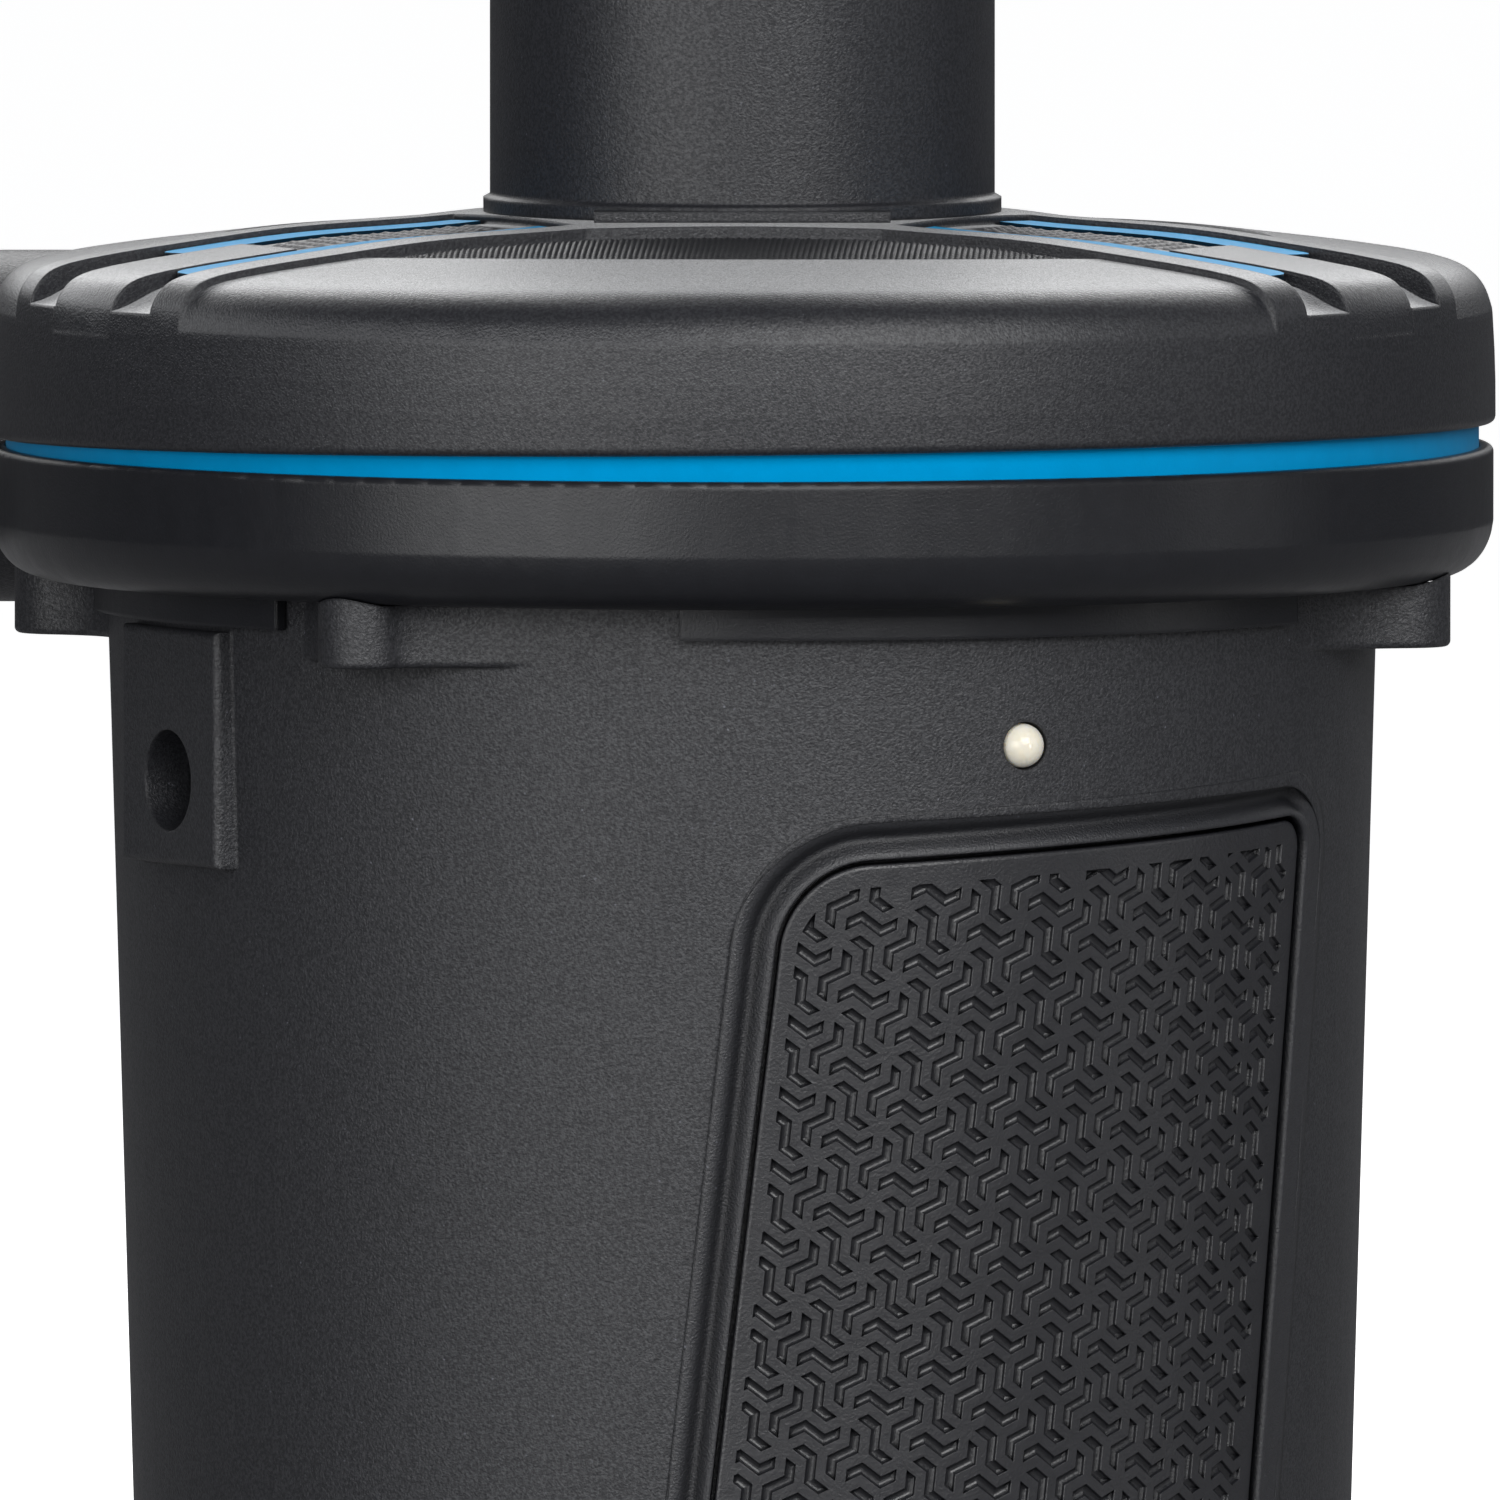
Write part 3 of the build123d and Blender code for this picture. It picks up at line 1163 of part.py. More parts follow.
with BuildPart() as base_cover:
    with BuildSketch(Plane.XZ):
        with BuildLine():
            Polyline((0, BASE_Z0), (BASE_R - BASE_BEVEL, BASE_Z0),
                     (BASE_R, BASE_Z0 + BASE_BEVEL), (BASE_R, BASE_Z1), (0, BASE_Z1),
                     close=True)
        make_face()
    revolve(axis=Axis.Z)
    # spigot inside the body
    with BuildSketch(Plane.XY.offset(TUB_Z0 - 0.2)):
        Circle(BASE_SPIGOT_R_OUT)
        Circle(BASE_SPIGOT_R_IN, mode=Mode.SUBTRACT)
    extrude(amount=4.2)
    # recess for the foot pad
    with BuildSketch(Plane.XY.offset(1.0)):
        Circle(32.2)
    extrude(amount=1.6, mode=Mode.SUBTRACT)
    # screw holes with counterbores; the spigot is cut away where the posts come down
    for z, radius, depth in ((0, 1.55, 12), (0, 2.75, 3.3), (TUB_Z0, 3.1, 5)):
        with BuildSketch(Plane.XY.offset(z)):
            with Locations(*base_screw_points):
                Circle(radius)
        extrude(amount=depth, mode=Mode.SUBTRACT)
write_piece(base_cover.part, "base_cover")

with BuildPart() as foot_pad:
    with BuildSketch(Plane.XY):
        Circle(32.1)
    extrude(amount=2.55)
    fillet(circles_at(foot_pad, Axis.Z, 0), radius=0.6)
write_piece(foot_pad.part, "foot_pad")

with BuildPart() as base_screws:
    # shanks, heads, cross slots
    with BuildSketch(Plane.XY.offset(3.1)):
        with Locations(*base_screw_points):
            Circle(1.25)
    extrude(amount=16.2)
    with BuildSketch(Plane.XY.offset(1.5)):
        with Locations(*base_screw_points):
            Circle(2.55)
    extrude(amount=1.77)
    with BuildSketch(Plane.XY.offset(1.4)):
        with Locations(*base_screw_points):
            draw_cross(3.0, 0.7)
    extrude(amount=1.1, mode=Mode.SUBTRACT)
write_piece(base_screws.part, "base_screws")
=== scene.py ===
"""A battery-powered air pump: a round body, wider towards the top, standing upright on z = 0.

Its axis is the Z axis. The front faces -Y, where the camera stands, and +X is to the right.
The CAD pieces are given materials; the two grips are rebuilt with engraved bars, and bezels
around them and knurled meshes on the top cover are added. Shapes are worked out in
millimetres and scaled by MM; materials, lights and the floor are in metres.
"""
import math
import bpy
import bmesh
import numpy as np
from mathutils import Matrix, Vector
from mathutils.geometry import delaunay_2d_cdt


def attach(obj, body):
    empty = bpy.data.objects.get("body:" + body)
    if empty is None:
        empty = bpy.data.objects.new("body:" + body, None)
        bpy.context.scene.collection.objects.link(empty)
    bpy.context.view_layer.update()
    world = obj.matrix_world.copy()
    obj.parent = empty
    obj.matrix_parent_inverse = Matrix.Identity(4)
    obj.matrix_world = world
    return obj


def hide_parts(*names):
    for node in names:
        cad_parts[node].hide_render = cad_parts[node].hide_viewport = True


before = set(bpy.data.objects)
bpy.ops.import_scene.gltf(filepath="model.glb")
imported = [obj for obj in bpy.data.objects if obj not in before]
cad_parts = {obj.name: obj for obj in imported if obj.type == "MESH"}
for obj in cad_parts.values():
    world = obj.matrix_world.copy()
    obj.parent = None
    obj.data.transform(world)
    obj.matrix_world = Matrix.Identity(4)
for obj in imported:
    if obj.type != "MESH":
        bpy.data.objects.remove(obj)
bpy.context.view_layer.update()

MM = 0.001
scene = bpy.context.scene


# ------------------------------------------------------------------ shader building
class Shader:
    """An emptied node tree. Inputs are given as {name or index: value or socket to link}."""

    def __init__(self, tree):
        self.tree = tree
        tree.nodes.clear()

    def put(self, node, inputs):
        for key, value in inputs.items():
            socket = node.inputs[key]
            if isinstance(value, bpy.types.NodeSocket):
                self.tree.links.new(value, socket)
            elif socket.type == "RGBA":
                socket.default_value = (*value, 1)
            else:
                socket.default_value = value

    def node(self, kind, inputs=None, **settings):
        made = self.tree.nodes.new("ShaderNode" + kind)
        for key, value in settings.items():
            setattr(made, key, value)
        self.put(made, inputs or {})
        return made

    def mix_shaders(self, factor, first, second):
        return self.node("MixShader", {0: factor, 1: first, 2: second}).outputs[0]


class Surface(Shader):
    """A named material with a Principled shader, textured in object coordinates."""

    def __init__(self, name):
        self.material = bpy.data.materials.new(name)
        self.material.use_nodes = True
        super().__init__(self.material.node_tree)
        output = self.node("OutputMaterial")
        self.bsdf = self.node("BsdfPrincipled")
        self.put(output, {0: self.bsdf.outputs[0]})
        self.position = self.node("TexCoord").outputs["Object"]
        MATERIALS[name] = self.material

    def principled(self, inputs):
        self.put(self.bsdf, inputs)

    def noise(self, scale, detail=2.0, rough=0.5, stretch=None):
        place = self.position
        if stretch is not None:
            place = self.node("Mapping", {"Vector": place, "Scale": stretch}).outputs[0]
        return self.node("TexNoise", {"Scale": scale, "Detail": detail, "Roughness": rough,
                                      "Vector": place}).outputs["Fac"]

    def ramp(self, value, span, to=(0.0, 1.0)):
        """Map the input span onto the output range, clamped."""
        return self.node("MapRange", {"From Min": span[0], "From Max": span[1], "To Min": to[0],
                                      "To Max": to[1], "Value": value}, clamp=True).outputs[0]

    def math(self, operation, a, b):
        return self.node("Math", {0: a, 1: b}, operation=operation).outputs[0]

    def times(self, a, b):
        return self.math("MULTIPLY", a, b)

    def mix(self, factor, first, second):
        """Mix two colours; 6, 7 and output 2 are the Mix node's colour sockets."""
        return self.node("Mix", {0: factor, 6: first, 7: second}, data_type="RGBA").outputs[2]

    def bump(self, height, distance, normal=None):
        inputs = {"Strength": 1.0, "Distance": distance, "Height": height}
        if normal is not None:
            inputs["Normal"] = normal
        return self.node("Bump", inputs).outputs[0]

    def soft_normal(self, radius):
        return self.node("Bevel", {"Radius": radius}, samples=3).outputs[0]

    def edge_mask(self, soft):
        """1 where the softened normal leaves the true one, that is on edges."""
        true = self.node("NewGeometry").outputs["Normal"]
        dot = self.node("VectorMath", {0: soft, 1: true}, operation="DOT_PRODUCT")
        return self.ramp(dot.outputs["Value"], (0.97, 0.75))

    def height_part(self, vector):
        return self.node("SeparateXYZ", {0: vector})


MATERIALS = {}
MID = (0.35, 0.65)      # span of a noise that covers most of its values
WIDE = (0.3, 0.7)


def around(value, spread):
    return (value - spread, value + spread)


def tone(base, factor, lift=0.0):
    return tuple(min(1, c * factor + lift) for c in base)


def plastic_colour(sh, base, mottle, painted_glints, fleck_noise, fleck):
    """Slow clouds, small pale specks painted as glints, and fine flecks."""
    cloud = sh.noise(scale=mottle[0], detail=3.0, rough=0.6)
    colour = sh.mix(sh.ramp(cloud, MID), tone(base, 1 - mottle[1]), tone(base, 1 + mottle[1]))
    # painted glints: pale specks in the colour stand in for sparkling glints of light
    if painted_glints:
        cells = sh.node("TexVoronoi", {"Scale": painted_glints[0], "Vector": sh.position})
        dots = sh.ramp(cells.outputs["Distance"], (0.16, 0.05))
        chosen = sh.ramp(sh.noise(scale=painted_glints[0] * 0.37, detail=1.0), (0.55, 0.7))
        colour = sh.mix(sh.times(dots, chosen), colour, tone(base, painted_glints[1]))
    if fleck:
        pale = sh.mix(0.35, colour, tone(base, 1 + fleck[1]))
        colour = sh.mix(sh.ramp(fleck_noise, FLECK_SPAN), tone(base, 1 - fleck[1]), pale)
    return colour


def add_painted_reflection(sh, normal, painted_reflection):
    """A painted reflection: emission for a pale band low around the studio, as mirrored at
    grazing angles by nearly level faces.
    """
    incoming = sh.node("NewGeometry").outputs["Incoming"]
    view = sh.node("VectorMath", {0: incoming, "Scale": -1.0}, operation="SCALE")
    mirrored = sh.node("VectorMath", {0: view.outputs[0], 1: normal}, operation="REFLECT")
    parts = sh.height_part(mirrored.outputs[0]).outputs
    band = sh.times(sh.ramp(parts["Z"], (0.12, 0.28)), sh.ramp(parts["Z"], (0.66, 0.38)))
    # weaker where the mirrored ray goes to the right
    band = sh.times(band, sh.ramp(parts["X"], (0.10, 0.34), to=(1.0, 0.22)))
    fresnel = sh.node("Fresnel", {"IOR": 1.48, "Normal": normal}).outputs[0]
    # painted reflection: emission in the colour of the pale band stands in for its reflection
    sh.principled({"Emission Color": (0.97, 0.98, 1.0),
                   "Emission Strength": sh.times(sh.times(band, fresnel), painted_reflection)})


FLECK_SPAN = (0.38, 0.62)


def plastic(name, base, rough, grain=(5200, 0.00003), coarse_grain=None, mottle=(260, 0.18),
            streak=None, rough_var=0.07, spec=0.5, edge=0.00035, edge_tint=1.7, painted_glints=None,
            scuff=0.0, tint=None, painted_reflection=0.0, crevice_shade=None, fleck=None):
    """Moulded plastic or rubber.

    grain, coarse_grain: (noise scale, bump distance)   mottle, fleck: (scale, contrast)
    speck: (scale, brightness) of painted glints        streak: (scale, stretch, roughness)
    edge: radius of softened edges, edge_tint their brightness, which is partly rubbed
    wear and partly a painted edge highlight; scuff: roughness added in patches; crevice:
    distance within which hollows get painted shade; tint: colour of the reflections; haze:
    strength of a painted reflection of a pale band at grazing angles.
    """
    sh = Surface(name)
    flecks = sh.noise(scale=fleck[0], detail=1.0) if fleck else None
    colour = plastic_colour(sh, base, mottle, painted_glints, flecks, fleck)

    # paler edges: partly rubbed wear, partly a painted highlight along the edges
    soft = sh.soft_normal(edge)
    wear_and_edge_highlight = sh.times(sh.edge_mask(soft), sh.ramp(sh.noise(scale=900), (0.35, 0.7)))
    colour = sh.mix(sh.times(wear_and_edge_highlight, 0.8), colour, tone(base, edge_tint, lift=0.004))

    specular = spec
    if crevice_shade:
        # painted shade: hollows within this distance get a darker colour and weaker reflection
        occlusion = sh.node("AmbientOcclusion", {"Distance": crevice_shade}, samples=2)
        exposed = sh.ramp(occlusion.outputs["AO"], (0.45, 0.95))
        colour = sh.mix(exposed, tone(base, 0.15), colour)
        specular = sh.times(exposed, spec)
    elif fleck:
        specular = sh.ramp(flecks, FLECK_SPAN, to=(spec * 0.78, spec * 1.2))

    patches = sh.noise(scale=mottle[0] * 1.7, detail=3.0, rough=0.6)
    roughness = sh.ramp(patches, WIDE, to=around(rough, rough_var))
    if streak:
        lines = sh.noise(scale=streak[0], detail=3.0, rough=0.6, stretch=streak[1])
        roughness = sh.math("ADD", roughness, sh.ramp(lines, MID, to=around(0, streak[2])))
    if scuff:
        marks = sh.noise(scale=420, detail=5.0, rough=0.75, stretch=(1, 1, 0.25))
        roughness = sh.math("ADD", roughness, sh.ramp(marks, (0.58, 0.72), to=(0.0, scuff)))

    normal = sh.bump(sh.noise(scale=grain[0], rough=0.55), grain[1], soft)
    if coarse_grain:
        coarse = sh.noise(scale=coarse_grain[0], detail=3.0, rough=0.6)
        normal = sh.bump(coarse, coarse_grain[1], normal)
    sh.principled({"Base Color": colour, "Roughness": roughness, "Normal": normal,
                   "Specular IOR Level": specular})
    if tint:
        sh.principled({"Specular Tint": tint})
    # painted reflection of a pale band on nearly level faces
    if painted_reflection:
        add_painted_reflection(sh, normal, painted_reflection)


def metal(name, base, rough, scale=600, stretch=(1, 1, 0.1)):
    """Drawn or turned metal with fine stretched streaks."""
    sh = Surface(name)
    streaks = sh.noise(scale=scale, detail=3.0, rough=0.6, stretch=stretch)
    colour = sh.mix(sh.ramp(streaks, WIDE), tone(base, 0.8), tone(base, 1.1))
    soft = sh.soft_normal(0.0002)
    colour = sh.mix(sh.times(sh.edge_mask(soft), 0.6), colour, tone(base, 1.25))
    sh.principled({"Base Color": colour, "Metallic": 1.0,
                   "Roughness": sh.ramp(streaks, WIDE, to=around(rough, 0.1)),
                   "Normal": sh.bump(streaks, 0.00002, soft)})


def strip_blue():
    """Blue on faces that look up; the others, the side faces down in the narrow grooves, get
    nearly black painted shade.
    """
    sh = Surface("strip_blue")
    facing = sh.height_part(sh.node("NewGeometry").outputs["Normal"]).outputs["Z"]
    # painted shade: faces that do not look up are made nearly black
    upward = sh.ramp(facing, (0.45, 0.75))
    blue = sh.mix(sh.ramp(sh.noise(scale=500), MID), (0.0, 0.30, 0.62), (0.0, 0.325, 0.66))
    sh.principled({
        "Base Color": sh.mix(upward, (0.004, 0.010, 0.016), blue),
        "Roughness": sh.ramp(sh.noise(scale=900), WIDE, to=(0.36, 0.44)),
        "Normal": sh.bump(sh.noise(scale=4200), 0.000008, sh.soft_normal(0.0002)),
        "Specular IOR Level": 0.3,
        "Specular Tint": BLUE_REFLECTION})


def lamp_milky():
    """Milky, slightly yellow lens with a faint glow, paler at grazing angles as a painted
    sheen.
    """
    sh = Surface("lamp_milky")
    facing = sh.node("LayerWeight", {"Blend": 0.35}).outputs["Facing"]
    # painted sheen: paler where the lens is seen at a grazing angle
    colour = sh.mix(facing, (0.74, 0.70, 0.60), (0.86, 0.84, 0.78))
    yellowing = sh.ramp(sh.noise(scale=700), MID, to=(0.0, 0.35))
    colour = sh.mix(yellowing, colour, (0.72, 0.67, 0.52))
    sh.principled({
        "Base Color": colour,
        "Subsurface Weight": 0.6,
        "Subsurface Radius": (0.9, 0.8, 0.6),
        "Subsurface Scale": 0.001,
        "Roughness": 0.18,
        "Normal": sh.bump(sh.noise(scale=1500), 0.000008),
        "Emission Color": colour,
        "Emission Strength": 0.03})


# ------------------------------------------------------------------ materials
BLACK = (0.0150, 0.0156, 0.0190)
BLUE_REFLECTION = (0.0, 0.35, 0.8)
TEXTURED = dict(base=BLACK, grain=(6200, 0.00006), coarse_grain=(3400, 0.00003),
                mottle=(900, 0.10), painted_glints=(1500, 11.0), rough_var=0.02)
MESH = dict(rough=0.42, mottle=(1100, 0.10), rough_var=0.02)

plastic("body_plastic", rough=0.50, spec=0.62, scuff=0.03, fleck=(4300, 0.27), **TEXTURED)
plastic("cover_plastic", base=BLACK, rough=0.44, grain=(6400, 0.00003),
        coarse_grain=(3200, 0.000012), mottle=(1100, 0.10), painted_glints=(1900, 7.0), spec=0.46,
        rough_var=0.02, scuff=0.03, painted_reflection=1.4, fleck=(4300, 0.20))
plastic("mesh_plastic", base=(0.0120, 0.0125, 0.0150), spec=0.4, painted_reflection=0.16, **MESH)
plastic("mesh_arm_plastic", base=BLACK, spec=0.5, painted_reflection=0.6, **MESH)
plastic("shell_plastic", base=(0.0082, 0.0087, 0.0112), rough=0.34, grain=(5200, 0.000016),
        mottle=(700, 0.08), streak=(330, (1, 1, 0.08), 0.02), painted_glints=(2600, 3.0), spec=0.43,
        rough_var=0.02)
plastic("port_plastic", base=BLACK, rough=0.42, grain=(6200, 0.00004),
        coarse_grain=(3400, 0.000018), mottle=(900, 0.10), painted_glints=(1700, 9.0), spec=0.5,
        rough_var=0.02, scuff=0.03, fleck=(4300, 0.24))
plastic("trim_blue", base=(0.0, 0.235, 0.50), rough=0.40, grain=(4200, 0.000008),
        mottle=(500, 0.03), spec=0.35, rough_var=0.02, edge_tint=1.15, edge=0.0002,
        tint=BLUE_REFLECTION)
plastic("grip_rubber", base=(0.0125, 0.0128, 0.0155), rough=0.36, grain=(4600, 0.00003),
        mottle=(700, 0.10), spec=0.75, rough_var=0.03, edge=0.00006, edge_tint=1.6,
        crevice_shade=0.0004)
plastic("bezel_plastic", rough=0.46, spec=0.75, crevice_shade=0.0016, fleck=(4300, 0.22), **TEXTURED)
plastic("foot_rubber", base=(0.012, 0.012, 0.013), rough=0.7, grain=(2600, 0.00006),
        mottle=(220, 0.25), spec=0.35)
metal("screw_steel", base=(0.55, 0.56, 0.58), rough=0.3)
metal("motor_steel", base=(0.5, 0.51, 0.53), rough=0.35, scale=400)
metal("contact_brass", base=(0.72, 0.52, 0.22), rough=0.3)
metal("winding_copper", base=(0.72, 0.33, 0.16), rough=0.35, scale=1500, stretch=(1, 1, 8))
plastic("ferrite", base=(0.04, 0.04, 0.045), rough=0.5, grain=(3000, 0.00004))
plastic("nylon", base=(0.62, 0.61, 0.56), rough=0.42, grain=(2600, 0.00002),
        mottle=(160, 0.06), edge_tint=1.1)
plastic("cell_sleeve", base=(0.03, 0.16, 0.09), rough=0.3, grain=(900, 0.00002),
        mottle=(120, 0.12))
plastic("solder_mask", base=(0.01, 0.1, 0.03), rough=0.3, grain=(1800, 0.00001),
        mottle=(420, 0.2))
plastic("component", base=(0.02, 0.02, 0.022), rough=0.45, grain=(3600, 0.00002))
plastic("foam", base=(0.05, 0.05, 0.05), rough=0.9, grain=(1500, 0.0002), mottle=(500, 0.3))
plastic("felt", base=(0.35, 0.33, 0.27), rough=0.95, grain=(1800, 0.0002), mottle=(600, 0.25))
plastic("wire_red", base=(0.45, 0.01, 0.01), rough=0.35, grain=(1500, 0.00001))
plastic("wire_black", base=(0.02, 0.02, 0.02), rough=0.35, grain=(1500, 0.00001))
strip_blue()
lamp_milky()

# material: the CAD pieces made of it
PIECES = {
    "body_plastic": "body_tub base_cover",
    "shell_plastic": "lower_shell switch_frame switch_rocker",
    "cover_plastic": "upper_shell",
    "trim_blue": "accent_ring",
    "strip_blue": "accent_strips",
    "port_plastic": "intake_port intake_guard nozzle_adapter outlet_spout",
    "grip_rubber": "grip_pad_right grip_pad_left",
    "foot_rubber": "foot_pad",
    "nylon": "impeller motor_end_cap battery_tray",
    "screw_steel": "impeller_nut motor_shaft motor_screws head_screws cell_links led_leads "
                   "base_screws",
    "motor_steel": "motor_can armature_core",
    "contact_brass": "motor_terminals motor_bushes brush_springs jack_pin switch_tabs",
    "winding_copper": "armature_windings commutator",
    "ferrite": "motor_magnets",
    "component": "motor_brushes board_components charge_jack",
    "felt": "shaft_seal",
    "cell_sleeve": "battery_cells",
    "foam": "battery_pad",
    "solder_mask": "circuit_board",
    "lamp_milky": "charge_led",
    "wire_red": "wire_positive",
    "wire_black": "wire_negative",
}
material_of = {piece: MATERIALS[name] for name, row in PIECES.items() for piece in row.split()}
for piece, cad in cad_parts.items():
    if not cad.data.materials:
        cad.data.materials.append(material_of[piece])
    for material_slot in cad.material_slots:
        material_slot.material = material_of[piece]


# ------------------------------------------------------------------ plane geometry
def cross(a, b, p):
    """Positive when p lies left of the line from a to b; twice the triangle's area."""
    return (b[0] - a[0]) * (p[1] - a[1]) - (b[1] - a[1]) * (p[0] - a[0])


def unit(vector):
    return vector / np.linalg.norm(vector)


def clamp(value):
    return max(0.0, min(1.0, value))


def line_crossing(first, second):
    (x1, y1), (x2, y2) = first
    (x3, y3), (x4, y4) = second
    spread = (x1 - x2) * (y3 - y4) - (y1 - y2) * (x3 - x4)
    t = ((x1 - x3) * (y3 - y4) - (y1 - y3) * (x3 - x4)) / spread
    return (x1 + t * (x2 - x1), y1 + t * (y2 - y1))


def inside(polygon, x, y):
    """True for a point in a convex anticlockwise polygon."""
    return all(cross(a, b, (x, y)) >= 0 for a, b in zip(polygon, polygon[1:] + polygon[:1]))


def area(polygon):
    x, y = np.array(polygon).T
    return 0.5 * float(np.dot(x, np.roll(y, -1)) - np.dot(y, np.roll(x, -1)))


def inset_polygon(polygon, distance):
    """Move each edge of a simple anticlockwise polygon inwards."""
    points = np.array(polygon)
    result = []
    for i, here in enumerate(points):
        d1 = unit(here - points[i - 1])
        d2 = unit(points[(i + 1) % len(points)] - here)
        q1 = here + np.array((-d1[1], d1[0])) * distance
        q2 = here + np.array((-d2[1], d2[0])) * distance
        turn = d1[0] * d2[1] - d1[1] * d2[0]
        if abs(turn) >= 1e-6:
            q1 = q1 + d1 * (((q2[0] - q1[0]) * d2[1] - (q2[1] - q1[1]) * d2[0]) / turn)
        result.append(tuple(q1))
    return result


def clip_convex(polygon, clip):
    """The part of a polygon inside a convex anticlockwise one."""
    kept = list(polygon)
    for a, b in zip(clip, clip[1:] + clip[:1]):
        points, kept = kept, []
        for i, q in enumerate(points):
            p = points[i - 1]
            side_p, side_q = cross(a, b, p), cross(a, b, q)
            if (side_p < 0) != (side_q < 0):
                t = side_p / (side_p - side_q)
                kept.append((p[0] + t * (q[0] - p[0]), p[1] + t * (q[1] - p[1])))
            if side_q >= 0:
                kept.append(q)
    return kept


def convex_hull(points):
    """Convex hull, anticlockwise."""
    ordered = sorted(set((round(x, 4), round(y, 4)) for x, y in points))

    def half(sequence):
        chain = []
        for p in sequence:
            while len(chain) > 1 and cross(chain[-2], chain[-1], p) <= 0:
                chain.pop()
            chain.append(p)
        return chain[:-1]
    return half(ordered) + half(ordered[::-1])


# ------------------------------------------------------------------ mesh building
def mesh_object(name, verts, faces, material, smooth=False):
    mesh = bpy.data.meshes.new(name)
    mesh.from_pydata([tuple(v) for v in verts], [], faces)
    mesh.validate()
    mesh.update()
    bm = bmesh.new()
    bm.from_mesh(mesh)
    bmesh.ops.recalc_face_normals(bm, faces=bm.faces)
    bm.to_mesh(mesh)
    bm.free()
    made = bpy.data.objects.new(name, mesh)
    scene.collection.objects.link(made)
    mesh.materials.append(MATERIALS[material])
    if smooth:
        for face in mesh.polygons:
            face.use_smooth = True
    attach(made, "housing")
    return made


def ring_edges(start, count):
    return [(start + i, start + (i + 1) % count) for i in range(count)]


def triangulate(points, edges, rim_count):
    """Fill the outline made of the first rim_count points.

    Returns the points, the input points each one comes from, and the triangles without the
    hair-thin ones that collinear outline points leave outside a straight edge.
    """
    flat, _, triangles, origins, _, _ = delaunay_2d_cdt(
        [Vector((p[0], p[1])) for p in points], edges, [list(range(rim_count))], 1, 1e-5, True)
    on_rim = [any(k < rim_count for k in source) for source in origins]

    def solid(triangle):
        if not all(on_rim[i] for i in triangle):
            return True
        return abs(cross(*(flat[i] for i in triangle[:3]))) / 2 > 1e-4
    return flat, origins, [tuple(t) for t in triangles if solid(t)]


def height_solid(name, loops, place, depth, material, points=(), edges=(), grid=()):
    """A closed solid whose upper face is a height field.

    loops: [(points, height)], the outline first; points: [(x, y, height)] joined by edges;
    grid: points added to the underside; place(x, y, height) gives a position in metres.
    """
    outline = loops[0][0]
    count = len(outline)
    flat_in, heights, edges_in = [], [], []
    for loop, height in loops:
        edges_in += ring_edges(len(flat_in), len(loop))
        flat_in += loop
        heights += [height] * len(loop)
    start = len(flat_in)
    flat_in += [(x, y) for x, y, _ in points]
    heights += [height for _, _, height in points]
    edges_in += [(start + i, start + j) for i, j in edges]
    flat, origins, faces = triangulate(flat_in, edges_in, count)

    # points made where edges cross take the height of the nearest given point
    known = [(p, min(heights[k] for k in source)) for p, source in zip(flat, origins) if source]
    verts = []
    rim_vertex = {}
    for i, (p, source) in enumerate(zip(flat, origins)):
        if source:
            height = min(heights[k] for k in source)
        else:
            height = min(known, key=lambda q: (q[0] - p).length_squared)[1]
        verts.append(place(p[0], p[1], height))
        for k in source:
            if k < count:
                rim_vertex[k] = i

    base = len(verts)
    verts += [place(p[0], p[1], -depth) for p in outline]
    flat, origins, under = triangulate(list(outline) + list(grid), ring_edges(0, count), count)
    index = []
    for p, source in zip(flat, origins):
        if source and min(source) < count:
            index.append(base + min(source))
        else:
            index.append(len(verts))
            verts.append(place(p[0], p[1], -depth))
    faces += [tuple(index[i] for i in reversed(t)) for t in under]
    for a, b in ring_edges(0, count):
        faces.append((rim_vertex[a], base + a, base + b, rim_vertex[b]))
    return mesh_object(name, verts, faces, material)


# ------------------------------------------------------------------ grip outline
# Unrolled coordinates (s, z) in mm: s is the azimuth from the grip's middle times
# UNROLL_RADIUS, and grows to the right seen from outside.
BODY_TOP_RADIUS, BODY_TOP_Z = 43.75, 114.7
BODY_DRAFT = math.tan(math.radians(1.59))
UNROLL_RADIUS = 43.0
OUTLINE_STEP = 0.8


def unrolled(*points):
    """(degrees, z) to (s, z)"""
    return [(degrees * (math.radians(1.0) * UNROLL_RADIUS), z) for degrees, z in points]


# two points on each edge: degrees from the grip's middle, z
LEFT_EDGE = unrolled((-26.7, 100.0), (-32.3, 65.0))
RIGHT_EDGE = unrolled((32.4, 101.0), (27.3, 64.0))
TOP_EDGE = unrolled((-17.5, 102.4), (26.5, 104.1))
BOTTOM_EDGE = unrolled((-30.0, 22.4), (20.0, 24.2))
# corner point, radius; clockwise from the upper left
CORNERS = [
    (line_crossing(LEFT_EDGE, TOP_EDGE), 6.8),
    (line_crossing(TOP_EDGE, RIGHT_EDGE), 2.0),
    (line_crossing(RIGHT_EDGE, BOTTOM_EDGE), 3.0),
    (line_crossing(BOTTOM_EDGE, LEFT_EDGE), 3.0),
]


